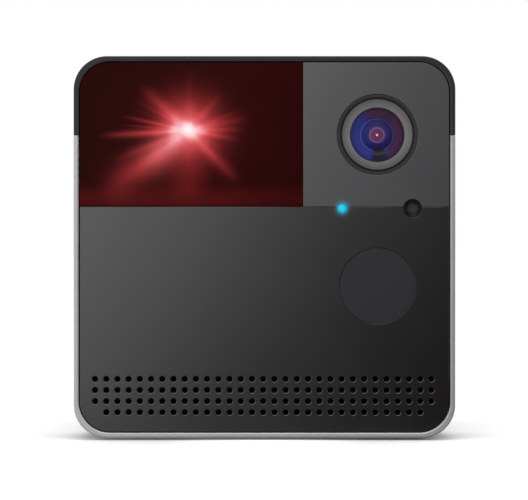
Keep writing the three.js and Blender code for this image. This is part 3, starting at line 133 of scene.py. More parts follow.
class PetCameraSizes(bpy.types.PropertyGroup):
    """Sizes of the details that the CAD solids leave out"""

    sleeve_round: length_property("Sleeve Round", "Rounding of the sleeve's outer edges", 0.32)
    sleeve_chamfer: length_property("Sleeve Chamfer", "Polished chamfer inside the rim", 0.26)
    panel_round: length_property("Panel Round", "Rounding of the face panels' edges", 0.08)
    hole_round: length_property("Hole Round", "Countersink round each grille hole", 0.19)
    hole_radius: length_property("Hole Radius", "Radius of a grille hole", 0.55)
    hole_pitch: length_property("Hole Pitch", "Distance between grille columns", 2.23)
    row_pitch: length_property("Row Pitch", "Distance between grille rows", 2.205)
    hole_columns: IntProperty(name="Hole Columns", description="Grille holes in a row", default=31, min=2)
    hole_rows: IntProperty(name="Hole Rows", description="Rows of grille holes", default=4, min=1)
    hole_steps: IntProperty(name="Hole Steps", description="Faces round a grille hole", default=20, min=8)
    thread_pitch: length_property("Thread Pitch", "Pitch of the tripod thread", 1.27)


class PetCameraColours(bpy.types.PropertyGroup):
    """Colours of the visible finishes"""

    aluminium: colour_property("Aluminium", "Anodised sleeve", (0.52, 0.51, 0.515))
    hood: colour_property("Hood", "Radio hood plastic", (0.011, 0.0095, 0.011))
    front: colour_property("Front Panel", "Gloss panel round the grille", (0.0034, 0.0018, 0.0024))
    camera: colour_property("Camera Panel", "Gloss panel round the lens", (0.039, 0.037, 0.039))
    window: colour_property("Laser Window", "Dark red filter plastic", (0.012, 0.002, 0.002))
    night: colour_property("Night Window", "Infrared window plastic", (0.0185, 0.0175, 0.0225))
    status: colour_property("Status Light", "Lit light pipe", (0.004, 0.62, 0.90))


def sizes():
    return bpy.context.scene.pet_camera_sizes


def colours():
    return bpy.context.scene.pet_camera_colours


# Outlines in the X and Z directions, as lists of (x, z) in millimetres, anticlockwise from the front


def arc(x, z, radius, start, end, steps):
    angles = [start + i * ((end - start) / steps) for i in range(steps + 1)]
    return [(x + radius * math.cos(a), z + radius * math.sin(a)) for a in angles]


def rounded_box(left, bottom, right, top, radius, steps=CORNER_STEPS):
    quarter = math.pi / 2
    return [
        *arc(right - radius, bottom + radius, radius, -quarter, 0, steps),
        *arc(right - radius, top - radius, radius, 0, quarter, steps),
        *arc(left + radius, top - radius, radius, quarter, 2 * quarter, steps),
        *arc(left + radius, bottom + radius, radius, 2 * quarter, 3 * quarter, steps),
    ]


def body_outline(inset, corner=BODY_CORNER):
    side = BODY_HALF - inset
    return rounded_box(-side, BODY_BASE + inset, side, BODY_TOP - inset, corner - inset)


def circle(x, z, radius, steps=ROUND_STEPS):
    return arc(x, z, radius, 0, 2 * math.pi, steps)[:-1]


def grown(points, distance):
    """The outline moved outwards, or inwards below 0. The outline of a hole grows into the sheet."""
    moved = []
    for before, here, after in zip([points[-1], *points], points, [*points[1:], points[0]]):
        came, goes = Vector(here) - Vector(before), Vector(after) - Vector(here)
        first = Vector((came.y, -came.x)).normalized()
        second = Vector((goes.y, -goes.x)).normalized()
        middle = (first + second).normalized()
        reach = distance / max(SHARPEST, middle.dot(first))
        moved.append((here[0] + middle.x * reach, here[1] + middle.y * reach))
    return moved


def clean(points):
    """Drops a point that lies on the one before it."""
    kept = []
    for p in points:
        if not kept or math.dist(p, kept[-1]) > SAME_POINT:
            kept.append(p)
    if math.dist(kept[0], kept[-1]) < SAME_POINT:
        kept.pop()
    return kept


# Meshes


def vertex(bm, x, y, z):
    return bm.verts.new((x * MM, y * MM, z * MM))


def ring(bm, outline, y):
    """The outline's points as vertices at one depth."""
    return [vertex(bm, x, y, z) for x, z in outline]


def bridge(bm, rings):
    """Quads between each ring and the next."""
    for near, far in zip(rings, rings[1:]):
        for i in range(len(near)):
            j = (i + 1) % len(near)
            bm.faces.new((near[i], near[j], far[j], far[i]))


def cap(bm, outer, holes=()):
    """A flat sheet inside one ring and outside the others."""
    loops = [outer, *holes]
    flat = [[Vector((v.co.x / MM, v.co.z / MM, 0)) for v in loop] for loop in loops]
    verts = [v for loop in loops for v in loop]
    for triangle in tessellate_polygon(flat):
        if len({verts[i] for i in triangle}) == 3:
            bm.faces.new([verts[i] for i in triangle])


def edge_levels(radius, y, inwards, steps=4):
    """(how far the outline shrinks, depth) down a quarter round that starts on a face at y."""
    angles = [i / steps * math.pi / 2 for i in range(steps + 1)]
    return [(radius * (1 - math.sin(a)), y + inwards * radius * (1 - math.cos(a))) for a in angles]


def rounded_wall(bm, outline, front, back, radius, hole=False):
    """Rings from a rounded front edge to the back. For a hole the rounding widens its mouth."""
    rings = []
    for shrink, y in edge_levels(radius, front, 1 if back > front else -1):
        moved = grown(outline, shrink if hole else -shrink) if shrink > 1e-9 else outline
        rings.append(ring(bm, moved, y))
    rings.append(ring(bm, outline, back))
    bridge(bm, rings)
    return rings[0], rings[-1]


def rounded_bar(bm, outline, front, back, radius):
    """A closed bar between two depths, with its front edge rounded."""
    for end in rounded_wall(bm, outline, front, back, radius):
        cap(bm, end)


def turn(bm, degrees, axis):
    matrix = Matrix.Rotation(math.radians(degrees), 3, axis)
    bmesh.ops.rotate(bm, verts=bm.verts, cent=(0, 0, 0), matrix=matrix)


def add_object(name, data):
    made = bpy.data.objects.new(name, data)
    bpy.context.scene.collection.objects.link(made)
    return made


def remove(*pieces):
    for piece in pieces:
        bpy.data.objects.remove(piece)


def finish_mesh(bm, name, recalculate=True):
    """The bmesh as an object at the origin, with its doubles merged and its faces pointing outwards."""
    bmesh.ops.remove_doubles(bm, verts=bm.verts, dist=1e-7)
    bmesh.ops.dissolve_degenerate(bm, edges=bm.edges, dist=1e-8)
    if recalculate:
        bmesh.ops.recalc_face_normals(bm, faces=bm.faces)
    mesh = bpy.data.meshes.new(name)
    bm.to_mesh(mesh)
    bm.free()
    return link_mesh(name, mesh)


def plane_of(face):
    """The same key for every face that lies in one plane."""
    normal = Vector([round(n, 4) for n in face.normal])
    return (*normal, round(normal.dot(face.center) / MM, 2))


def even_normals(mesh):
    """Lets a large flat face keep its own normal to its edge, so that only the rounding beside it shades."""
    earlier = mesh.attributes.get("custom_normal")
    if earlier:
        mesh.attributes.remove(earlier)
    areas, around = {}, {}
    for face in mesh.polygons:
        plane = plane_of(face)
        areas[plane] = areas.get(plane, 0.0) + face.area
        for index in face.vertices:
            around.setdefault(index, {})[plane] = face.normal.copy()
    normals = [n.vector.copy() for n in mesh.corner_normals]
    for face in mesh.polygons:
        for corner, index in zip(face.loop_indices, face.vertices):
            planes = around[index]
            near = [p for p in planes if planes[p].dot(face.normal) > math.cos(SMOOTH_ANGLE)]
            near.sort(key=areas.get, reverse=True)
            if len(near) == 1 or areas[near[0]] > FLAT_SHARE * areas[near[1]]:
                normals[corner] = planes[near[0]]
    mesh.normals_split_custom_set(normals)


def link_mesh(name, mesh):
    mesh.name = name
    mesh.shade_smooth()
    mesh.set_sharp_from_angle(angle=SMOOTH_ANGLE)
    even_normals(mesh)
    return add_object(name, mesh)


def turned_rings(bm, profile, x=0, z=0, steps=ROUND_STEPS):
    """A profile of (radius, y) turned round an axis along Y. A radius of 0 is one point."""
    rings = []
    for radius, y in profile:
        rings.append(ring(bm, circle(x, z, radius, steps), y) if radius else [vertex(bm, x, y, z)])
    for near, far in zip(rings, rings[1:]):
        for i in range(steps):
            j = (i + 1) % steps
            corners = [near[i % len(near)], near[j % len(near)], far[j % len(far)], far[i % len(far)]]
            corners = [v for k, v in enumerate(corners) if v not in corners[:k]]
            if len(corners) > 2:
                bm.faces.new(corners)


def softened(profile, radius, steps=3):
    """The profile with each corner that bends enough cut by a small round."""
    out = [profile[0]]
    for before, here, after in zip(profile, profile[1:], profile[2:]):
        p = Vector(here)
        first, second = Vector(before) - p, Vector(after) - p
        stays = min(first.length, second.length) < 1e-6
        if stays or math.pi - first.angle(second) < SOFTENED_BEND:
            out.append(here)
            continue
        reach = min(radius, first.length * 0.45, second.length * 0.45)
        start, end = p + first.normalized() * reach, p + second.normalized() * reach
        for t in [k / steps for k in range(steps + 1)]:
            point = start * (1 - t) ** 2 + p * 2 * t * (1 - t) + end * t**2
            out.append((point.x, point.y))
    return [*out, profile[-1]]


def modified(piece, name):
    """The piece with its modifiers applied, as a new object, and the old one removed."""
    graph = bpy.context.evaluated_depsgraph_get()
    mesh = bpy.data.meshes.new_from_object(piece.evaluated_get(graph), depsgraph=graph)
    remove(piece)
    return link_mesh(name, mesh)


def boolean(piece, other, operation):
    modifier = piece.modifiers.new(operation.title(), "BOOLEAN")
    modifier.operation = operation
    modifier.solver = "EXACT"
    modifier.object = other


def cutting_box(name, low, high):
    """A plain box for cutting, past the body to its sides, in front of it and above it."""
    low, high = Vector((-BEYOND, -BEYOND, low)), Vector((BEYOND, high, 2 * BEYOND))
    bm = bmesh.new()
    bmesh.ops.create_cube(bm, size=1)
    matrix = Matrix.Translation((high + low) / 2 * MM) @ Matrix.Diagonal((*((high - low) * MM), 1))
    bmesh.ops.transform(bm, matrix=matrix, verts=bm.verts)
    return finish_mesh(bm, name)


def dressed(piece, finish, slot, *nodes, body="camera_body"):
    """Gives a piece its material and body, and hides the CAD nodes it stands for; its slot is not used."""
    piece.data.materials.clear()
    piece.data.materials.append(finishes[finish])
    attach(piece, body)
    if nodes:
        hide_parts(*nodes)


def round_part(name, profile, place, *look, steps=ROUND_STEPS, **ride):
    """A closed piece turned round an axis along Y at a place (x, z), and dressed."""
    bm = bmesh.new()
    turned_rings(bm, profile, *place, steps)
    dressed(finish_mesh(bm, name), *look, **ride)


# Shader and geometry node helpers


def adds_node(operation, swapped=False):
    """A method that adds a Math node of that operation."""

    def reckon(value, *others):
        return value.graph.math(operation, *((*others, value) if swapped else (value, *others)))

    return reckon


class Value:
    """A node's output that can be reckoned with: each sign adds a Math node to its tree."""

    def __init__(self, graph, socket):
        self.graph = graph
        self.socket = socket

    __add__ = adds_node("ADD")
    __sub__ = adds_node("SUBTRACT")
    __rsub__ = adds_node("SUBTRACT", swapped=True)
    __mul__ = adds_node("MULTIPLY")
    __truediv__ = adds_node("DIVIDE")
    __rtruediv__ = adds_node("DIVIDE", swapped=True)
    __pow__ = adds_node("POWER")
    __abs__ = adds_node("ABSOLUTE")


def open_sockets(tree, way, words):
    """Named sockets of a node tree, from words such as "Position: Vector, Scale". A bare name is a float."""
    for word in words.split(", "):
        label, _, kind = word.partition(": ")
        tree.interface.new_socket(label, in_out=way, socket_type=f"NodeSocket{kind or 'Float'}")


class Graph:
    """Adds nodes to one tree. A plain value for an input is set on its socket, and a Value is linked."""

    def __init__(self, tree):
        self.tree = tree

    def feed(self, target, value):
        if isinstance(value, Value):
            self.tree.links.new(value.socket, target)
        elif target.type == "RGBA":
            target.default_value = (*value, 1.0)
        elif value is not None:
            target.default_value = value

    def node(self, kind, inputs=None, **settings):
        made = self.tree.nodes.new(kind)
        for key, value in settings.items():
            setattr(made, key, value)
        for key, value in (inputs or {}).items():
            self.feed(made.inputs[key], value)
        return made

    def get(self, kind, inputs=None, output=0, **settings):
        """One output of a new node."""
        return Value(self, self.node(kind, inputs, **settings).outputs[output])

    def math(self, operation, *values, clamp=False):
        return self.get("ShaderNodeMath", dict(enumerate(values)), operation=operation, use_clamp=clamp)

    def exp(self, value):
        return self.math("EXPONENT", value)

    def most(self, first, second):
        return self.math("MAXIMUM", first, second)

    def fused(self, value, factor, addend):
        return self.math("MULTIPLY_ADD", value, factor, addend)

    def vector(self, operation, *values, output="Vector"):
        return self.get("ShaderNodeVectorMath", dict(enumerate(values)), output, operation=operation)

    def dot(self, first, second):
        return self.vector("DOT_PRODUCT", first, second, output="Value")

    def length(self, vector):
        return self.vector("LENGTH", vector, output="Value")

    def scaled(self, vector, factor):
        return self.get("ShaderNodeVectorMath", {0: vector, "Scale": factor}, operation="SCALE")

    def parts(self, vector):
        """The X, Y and Z of a vector."""
        return [Value(self, s) for s in self.node("ShaderNodeSeparateXYZ", {0: vector}).outputs]

    def combined(self, x, y=None, z=None):
        return self.get("ShaderNodeCombineXYZ", {0: x, 1: y, 2: z})

    def mix(self, factor, first, second):
        """A colour between two."""
        return self.get("ShaderNodeMix", {0: factor, 6: first, 7: second}, 2, data_type="RGBA")

    def between(self, factor, first, second):
        """A number between two."""
        return self.get("ShaderNodeMix", {0: factor, 2: first, 3: second})

    def step(self, value, low, high, start=0.0, end=1.0):
        """Smooth from start to end while value goes from low to high."""
        inputs = dict(enumerate((value, low, high, start, end)))
        return self.get("ShaderNodeMapRange", inputs, interpolation_type="SMOOTHSTEP")

    def ramp(self, factor, stops):
        made = self.node("ShaderNodeValToRGB", {0: factor})
        elements = made.color_ramp.elements
        for i, (position, colour) in enumerate(stops):
            element = elements[i] if i < 2 else elements.new(position)
            element.position = position
            element.color = (*colour, 1.0)
        return Value(self, made.outputs[0])

    def noise(self, position, scale, detail=3.0, roughness=0.5):
        inputs = {"Vector": position, "Scale": scale, "Detail": detail, "Roughness": roughness}
        return self.get("ShaderNodeTexNoise", inputs)

    def position(self):
        return self.get("ShaderNodeTexCoord", output="Object")

    def millimetres(self):
        return self.get("ShaderNodeMapping", {"Vector": self.position(), "Scale": (1 / MM,) * 3})

    def millimetres_from(self, x, z):
        """Object coordinates in millimetres from a point of the face, flattened on the X and Z directions."""
        inputs = {"Vector": self.position(), "Location": (-x, 0, -z), "Scale": (1 / MM, 0, 1 / MM)}
        return self.get("ShaderNodeMapping", inputs)

    def group(self, name, *values):
        """The outputs of a shader node group, given its inputs in order."""
        made = self.node("ShaderNodeGroup", node_tree=shader_group(name))
        for target, value in zip(made.inputs, values):
            self.feed(target, value)
        return [Value(self, s) for s in made.outputs]

    def ray(self, position, angle, length, width, spread, strength):
        """A streak of light at an angle in degrees round the Y axis."""
        turned_by = math.radians(angle)
        along = (math.cos(turned_by), 0, math.sin(turned_by))
        aside = (-math.sin(turned_by), 0, math.cos(turned_by))
        return self.group("light_ray", position, along, aside, length, width, spread, strength)[0]


GROUP_BUILDERS = {}


def builds(name, inputs, outputs):
    """Marks a function that fills the shader node group of that name and returns its outputs in order."""

    def keep(fill):
        GROUP_BUILDERS[name] = (inputs, outputs, fill)
        return fill

    return keep


def group_inputs(graph):
    """The inputs of a node tree, without the empty socket at their end."""
    return [Value(graph, s) for s in graph.node("NodeGroupInput").outputs][:-1]


def shader_group(name):
    """The node group of that name, made the first time that it is asked for."""
    found = bpy.data.node_groups.get(name)
    if found:
        return found
    inputs, outputs, fill = GROUP_BUILDERS[name]
    tree = bpy.data.node_groups.new(name, "ShaderNodeTree")
    open_sockets(tree, "INPUT", inputs)
    open_sockets(tree, "OUTPUT", outputs)
    graph = Graph(tree)
    results = fill(graph, *group_inputs(graph))
    graph.node("NodeGroupOutput", dict(enumerate(results)))
    return tree


@builds("moulded_grain", "Position: Vector, Scale, Height", "Height, Patches")
def fill_grain(graph, position, scale, height):
    """Fine spark-eroded grain over slow patches, as on moulded plastic and blasted metal."""
    fine = graph.noise(position, scale, 4.0, 0.6)
    slow = graph.noise(position, scale * 0.02, 2.0, 0.5)
    return [fine * height, graph.step(slow, 0.3, 0.7)]


@builds("tinted_patches", "Color: Color, Patches, Amount", "Color: Color")
def fill_patches(graph, colour, patches, amount):
    """The colour a little darker or lighter from patch to patch."""
    return [graph.scaled(colour, (patches - 0.5) * amount + 1.0)]


@builds("drawn_lines", "Position: Vector, Stretch: Vector, Scale", "Lines")
def fill_lines(graph, position, stretch, scale):
    """Fine lines left by drawing or brushing metal."""
    return [graph.noise(graph.vector("MULTIPLY", position, stretch), scale, 5.0, 0.65)]


@builds("woven_threads", "Position: Vector, Pitch", "Height, Gaps")
def fill_weave(graph, position, pitch):
    """A plain weave of round threads in the X and Z directions."""
    x, _, z = graph.parts(graph.scaled(position, math.pi / pitch))
    across, upright = abs(graph.math("SINE", x)), abs(graph.math("SINE", z))
    over = graph.step(graph.math("SINE", x) * graph.math("SINE", z), -0.2, 0.2)
    height = graph.between(over, across, upright)
    return [height, graph.step(height, 0.1, 0.45)]


# Softness of the rim mask, which places the chamfers' painted highlight, across the rim and in depth, in
# millimetres
RIM_FADE = 0.03
DEPTH_FADE = 0.05


@builds("rim_chamfer", "Position: Vector, Middle: Vector, Straight: Vector, Start, Depth", "Mask")
def fill_rim(graph, position, middle, straight, start, depth):
    """1 on the chamfers inside a rounded square rim, from the rim's front and back faces inwards: where their
    painted highlight goes.
    """
    offset = graph.vector("ABSOLUTE", graph.vector("SUBTRACT", position, middle))
    past = graph.vector("MAXIMUM", graph.vector("SUBTRACT", offset, straight), (0, 0, 0))
    outline = graph.vector("MULTIPLY", past, (1, 0, 1))
    inside = graph.step(graph.length(outline), start, start - RIM_FADE)
    near = graph.step(graph.parts(offset)[1], depth - DEPTH_FADE, depth)
    return [inside * near]


@builds("lamp_halo", "Position: Vector, Core, Reach", "Value")
def fill_halo(graph, position, core, reach):
    """Light that a small lamp spills round itself, falling off from its rim."""
    past = graph.most(graph.length(position) - core, 0.0)
    return [graph.exp(past / reach * -1.0)]


# How sharply a streak falls off to its sides and to its end, and how far from the middle it is whole
RAY_BLADE = 1.7
RAY_FADE = 1.5
RAY_START = 3.0


@builds(
    "light_ray",
    "Position: Vector, Direction: Vector, Side: Vector, Length, Width, Spread, Strength",
    "Value",
)
def fill_ray(graph, position, direction, side, length, width, spread, strength):
    """One streak of a flare, brightest along its middle and fading to its end."""
    along = graph.dot(position, direction)
    aside = graph.dot(position, side)
    reach = graph.most(along, 0.0)
    offset = abs(aside / graph.fused(reach, spread, width)) ** RAY_BLADE
    left = graph.math("SUBTRACT", 1.0, reach / length, clamp=True)
    body = graph.exp(offset * -1.0) * left**RAY_FADE * graph.step(along, 0.0, RAY_START)
    return [body * strength]


# The laser's star, painted as glow in the window: its middle, the size of its round core and of the white
# spark inside, in millimetres, and the brightness that shows as white
FLARE_CENTRE = (-15.1, 61.7)
FLARE_CORE_RADIUS = 4.2
FLARE_CORE_POWER = 1.62
FLARE_SPARK_RADIUS = 1.35
FLARE_SPARK = 0.22
FLARE_FULL = 1.2

# Angle in degrees, length and half width in millimetres, spread and strength of each of its streaks
FLARE_RAYS = (
    (138.0, 13.5, 1.00, 0.02, 0.76),
    (150.0, 12.5, 0.55, -0.01, 0.35),
    (159.0, 12.0, 0.30, 0.00, 0.20),
    (168.0, 14.0, 0.42, -0.01, 0.75),
    (175.5, 14.5, 0.32, -0.01, 0.45),
    (183.5, 18.5, 0.72, -0.01, 1.00),
    (202.0, 17.0, 0.60, 0.02, 0.60),
    (217.0, 22.5, 0.90, 0.10, 0.95),
    (227.0, 15.0, 1.60, 0.12, 0.40),
    (269.0, 16.0, 0.80, 0.02, 0.05),
    (314.0, 15.0, 0.85, 0.02, 0.64),
    (330.0, 9.0, 0.50, 0.00, 0.25),
    (350.0, 11.0, 0.52, 0.00, 0.68),
    (1.0, 12.0, 0.48, 0.01, 0.62),
    (12.0, 13.0, 0.50, 0.03, 0.55),
    (21.0, 12.0, 0.40, 0.01, 0.35),
    (48.0, 10.5, 0.80, 0.00, 0.45),
    (89.0, 14.0, 0.70, 0.00, 0.13),
)

# The dusty beam at its lower left, painted as glow, in the same terms, and the colour that it adds
FLARE_BEAM = (217.0, 13.0, 1.0, 0.16, 1.0)
FLARE_BEAM_GLOW = (0.06, 0.15, 0.155)

# Colour of the star against its brightness, from its smoky edge to its white middle
FLARE_COLOURS = (
    (0.0, (0.0, 0.0, 0.0)),
    (0.08, (0.095, 0.0085, 0.0095)),
    (0.14, (0.165, 0.0145, 0.016)),
    (0.26, (0.314, 0.028, 0.031)),
    (0.50, (0.597, 0.072, 0.083)),
    (0.63, (0.752, 0.145, 0.160)),
    (0.73, (0.880, 0.310, 0.340)),
    (0.84, (0.985, 0.630, 0.660)),
    (1.0, (1.0, 0.88, 0.90)),
)

# Colour of the haze round the star, a painted glow, and its layers. Each has two distances in millimetres
# from the star's
# middle and the light at each: all round it, then by height down to the window's lower edge, thinner at that
# edge and again to the right, then a patch below the star, and the window's right side
FLARE_HAZE = (1.0, 0.055, 0.065)
HAZE_ROUND = (22.0, 3.0, 0.0, 0.004)
HAZE_LOW = (-9.8, -13.6, 0.0, 0.045)
HAZE_EDGE = (-15.15, -14.4, 0.3, 1.0)
HAZE_THINNING = (22.0, 4.0, 0.35, 1.0)
HAZE_PATCH_BELOW = 10.0
HAZE_PATCH = (5.5, 0.5, 0.0, 0.06)
HAZE_RIGHT = (-8.0, 12.0, 0.0, 0.007)
# Noise levels, and the share of the painted glow between them, as the glow thickens and thins through the
# smoky plastic
SMOKY_GLOW_MOTTLE = (0.25, 0.75, 0.88, 1.12)


@builds("laser_flare", "Position: Vector", "Light")
def fill_flare(graph, position):
    """The star that the laser's light makes in the window, painted as glow: a soft round core and its
    streaks.
    """
    distance = graph.length(position)
    core = (distance / FLARE_CORE_RADIUS) ** FLARE_CORE_POWER
    shade = 1.0 - graph.exp(core * -1.0)
    for ray in FLARE_RAYS:
        shade = shade * graph.math("SUBTRACT", 1.0, graph.ray(position, *ray), clamp=True)
    spark = graph.exp((distance / FLARE_SPARK_RADIUS) ** 2.0 * -1.0)
    return [graph.fused(spark, FLARE_SPARK, 1.0 - shade)]


# Materials

GLOSS_SCALE = 2600.0

# The lamp's spill on the face round the status light: its start and its reach in millimetres, and its light
HALO_CORE = 0.88
HALO_REACH = 0.28
HALO_LIGHT = 0.47


class Finish(Graph):
    """The nodes of a new material with a Principled shader."""

    def __init__(self, name, **plain):
        self.material, tree = new_material(name)
        super().__init__(tree)
        self.shader = self.node("ShaderNodeBsdfPrincipled")
        self.paint(**plain)
        self.node("ShaderNodeOutputMaterial", {"Surface": Value(self, self.shader.outputs[0])})

    def paint(self, **values):
        """Feeds the shader's sockets, as base_color for Base Color."""
        for key, value in values.items():
            self.feed(self.shader.inputs[key.replace("_", " ").title().replace("Ior", "IOR")], value)

    def glow(self, colour, strength=1.0):
        self.paint(emission_color=colour, emission_strength=strength)

    def bump(self, strength, depth, height):
        inputs = {"Strength": strength, "Distance": depth * MM, "Height": height}
        self.paint(normal=self.get("ShaderNodeBump", inputs))

    def patchy(self, colour, patches, amount, chamfer=None):
        """Base colour a little lighter or darker with the patches, and a lighter one on the rim's chamfers as
        a painted highlight.
        """
        tint = self.group("tinted_patches", colour, patches, amount)[0]
        if chamfer:
            tint = self.mix(chamfer_highlight_mask(self), tint, chamfer)
        self.paint(base_color=tint)

    def rough(self, patches, low, high):
        self.paint(roughness=self.get("ShaderNodeMapRange", {0: patches, 3: low, 4: high}))

    def grain(self, scale):
        """Height and patches of a moulded or blasted surface."""
        return self.group("moulded_grain", self.position(), scale, 1.0)


def new_material(name):
    material = bpy.data.materials.new(name)
    material.use_nodes = True
    material.node_tree.nodes.clear()
    return material, material.node_tree


def grained(name, colour, roughness, scale, height, patches=0.08, chamfer=None, **plain):
    """Moulded or blasted surface: one colour with slow patches, fine grain in its height and roughness, and a
    painted highlight on the rim's chamfers when a chamfer colour is given.
    """
    finish = Finish(name, **plain)
    fine, slow = finish.grain(scale)
    finish.patchy(colour, slow, patches, chamfer)
    finish.rough(slow, roughness * 0.98, roughness * 1.02)
    finish.bump(0.5, height, fine)
    return finish.material


def chamfer_highlight_mask(graph):
    """Mask of the chamfers inside the sleeve's and the hood's rims, where their painted highlight goes."""
    chamfer = sizes().sleeve_chamfer / MM
    middle, straight = (0, 0, (BODY_BASE + BODY_TOP) / 2), BODY_HALF - FACE_CORNER
    start, depth = FACE_CORNER - LIP_WALL + chamfer, BODY_HALF - chamfer
    return graph.group("rim_chamfer", graph.millimetres(), middle, (straight, 0, straight), start, depth)[0]


def drawn_metal(name, colour, roughness, stretch):
    """Bare metal with fine lines along one direction."""
    finish = Finish(name, metallic=1.0)
    lines = finish.group("drawn_lines", finish.position(), stretch, 900.0)[0]
    finish.patchy(colour, lines, 0.35)
    finish.rough(lines, roughness * 0.75, roughness * 1.3)
    finish.bump(0.3, 0.02, lines)
    return finish.material


def face_gloss(name, colour, roughness, ior=1.5):
    """Gloss face plastic with a trace of moulding waviness, lit a little round the status light."""
    finish = Finish(name, specular_ior_level=1.0, ior=ior)
    fine, slow = finish.grain(GLOSS_SCALE)
    finish.patchy(colour, slow, 0.06)
    finish.rough(slow, roughness * 0.95, roughness * 1.05)
    finish.bump(0.15, 0.004, fine)
    spill = finish.group("lamp_halo", finish.millimetres_from(*STATUS), HALO_CORE, HALO_REACH)[0]
    finish.glow(finish.mix(spill, (0, 0, 0), [c * HALO_LIGHT for c in colours().status]))
    return finish.material


def window_material():
    """Dark red filter plastic with the laser's flare and the smoky light round it, both painted as glow."""
    look = {"roughness": 0.08, "specular_ior_level": 0.10, "specular_tint": (1, 0.2, 0.18)}
    finish = Finish("laser_window_filter", **look)
    fine, slow = finish.grain(GLOSS_SCALE)
    finish.patchy(colours().window, slow, 0.2)
    finish.bump(0.1, 0.004, fine)
    position = finish.millimetres_from(*FLARE_CENTRE)
    glow_mottle = finish.step(finish.noise(finish.position(), 200.0, 2.0, 0.5), *SMOKY_GLOW_MOTTLE)
    light = finish.group("laser_flare", position)[0] * glow_mottle
    star = finish.ramp(finish.math("DIVIDE", light, FLARE_FULL, clamp=True), FLARE_COLOURS)

    x, _, z = finish.parts(position)
    haze = finish.step(finish.length(position), *HAZE_ROUND) + finish.step(x, *HAZE_RIGHT)
    low = finish.step(z, *HAZE_LOW) * finish.step(z, *HAZE_EDGE) * finish.step(x, *HAZE_THINNING)
    patch = finish.length(finish.vector("ADD", position, (0, 0, HAZE_PATCH_BELOW)))
    field = (haze + (low + finish.step(patch, *HAZE_PATCH))) * glow_mottle
    total = finish.vector("ADD", star, finish.scaled(FLARE_HAZE, field))
    beam = finish.scaled(FLARE_BEAM_GLOW, finish.ray(position, *FLARE_BEAM))
    finish.glow(finish.vector("ADD", total, beam))
    return finish.material


# Radius as a share of LENS_REACH, and the lens's colour there as seen from the front, on its blue side and on
# its
# maroon side: coating tints with painted reflections, and a painted highlight at the middle
LENS_RINGS = (
    (0.0, (0.95, 0.80, 0.90), (0.95, 0.80, 0.90)),
    (0.024, (0.50, 0.30, 0.40), (0.50, 0.30, 0.40)),
    (0.060, (0.11, 0.030, 0.070), (0.10, 0.030, 0.065)),
    (0.10, (0.070, 0.006, 0.028), (0.065, 0.006, 0.028)),
    (0.16, (0.120, 0.020, 0.070), (0.110, 0.018, 0.060)),
    (0.20, (0.050, 0.008, 0.030), (0.050, 0.008, 0.032)),
    (0.255, (0.130, 0.060, 0.150), (0.105, 0.058, 0.140)),
    (0.29, (0.060, 0.026, 0.100), (0.050, 0.024, 0.085)),
    (0.32, (0.012, 0.010, 0.080), (0.018, 0.010, 0.065)),
    (0.46, (0.004, 0.006, 0.085), (0.008, 0.006, 0.060)),
    (0.565, (0.003, 0.005, 0.075), (0.007, 0.005, 0.045)),
    (0.580, (0.045, 0.065, 0.29), (0.026, 0.030, 0.110)),
    (0.598, (0.040, 0.055, 0.25), (0.024, 0.026, 0.090)),
    (0.615, (0.012, 0.016, 0.105), (0.020, 0.009, 0.030)),
    (0.85, (0.014, 0.022, 0.150), (0.042, 0.011, 0.034)),
    (0.97, (0.009, 0.012, 0.070), (0.022, 0.006, 0.016)),
    (1.0, (0.004, 0.004, 0.010), (0.006, 0.003, 0.006)),
)
LENS_REACH = 5.4
LENS_RIPPLE = 0.42
LENS_RIPPLE_SHARE = 0.14

# Which way the blue side lies and how softly it starts, then the dark wedge below the middle, a painted dark
# reflection:
# its direction, its colour, its softness and the shares of LENS_REACH that it grows in between
BLUE_WAY = (-0.88, 0, -0.47)
BLUE_EDGE = (-0.35, 0.45)
WEDGE_WAY = (0.10, 0, -0.995)
WEDGE_REFLECTION_COLOUR = (0.010, 0.006, 0.012)
WEDGE_EDGE = (0.90, 0.985)
WEDGE_REACH = (0.20, 0.60)


@builds("lens_coating_reflections", "Position: Vector", "Color: Color")
def fill_lens_reflections(graph, position):
    """Coating tints and painted reflections that the coated elements show: blue at the left and below, maroon
    above and at the right.
    """
    distance = graph.length(position)
    unit = graph.vector("NORMALIZE", position)
    share = graph.math("DIVIDE", distance, LENS_REACH, clamp=True)
    blue = graph.ramp(share, [(at, blue) for at, blue, _ in LENS_RINGS])
    maroon = graph.ramp(share, [(at, maroon) for at, _, maroon in LENS_RINGS])
    colour = graph.mix(graph.step(graph.dot(unit, BLUE_WAY), *BLUE_EDGE), maroon, blue)
    wedge = graph.step(graph.dot(unit, WEDGE_WAY), *WEDGE_EDGE) * graph.step(share, *WEDGE_REACH)
    colour = graph.mix(wedge, colour, WEDGE_REFLECTION_COLOUR)
    ripple = graph.math("SINE", distance * (2 * math.pi / LENS_RIPPLE))
    return [graph.scaled(colour, graph.fused(ripple, LENS_RIPPLE_SHARE, 1.0))]


def lens_reflection_material():
    """A coated lens surface with painted reflections, glowing with painted light so that the glass before it
    doesn't darken it.
    """
    finish = Finish("lens_inner_coating", roughness=0.15, specular_ior_level=0.15)
    coating = finish.group("lens_coating_reflections", finish.millimetres_from(*LENS))[0]
    # Coating tints with painted reflections, and the same colours again as painted glow
    finish.paint(base_color=coating)
    finish.glow(coating, 0.75)
    return finish.material


def clear_glass(name, tint, ior):
    finish = Finish(name, transmission_weight=1.0, ior=ior, roughness=0.02)
    smear = finish.noise(finish.position(), 300.0, 3.0, 0.5)
    finish.paint(base_color=finish.mix(smear, tint, (1, 1, 1)))
    return finish.material


def cloth_material():
    finish = Finish("grille_cloth_weave", specular_ior_level=0.2, roughness=0.95)
    height, gaps = finish.group("woven_threads", finish.position(), 0.35 * MM)
    finish.paint(base_color=finish.mix(gaps, (0.001,) * 3, (0.006,) * 3))
    finish.bump(0.8, 0.1, height)
    return finish.material


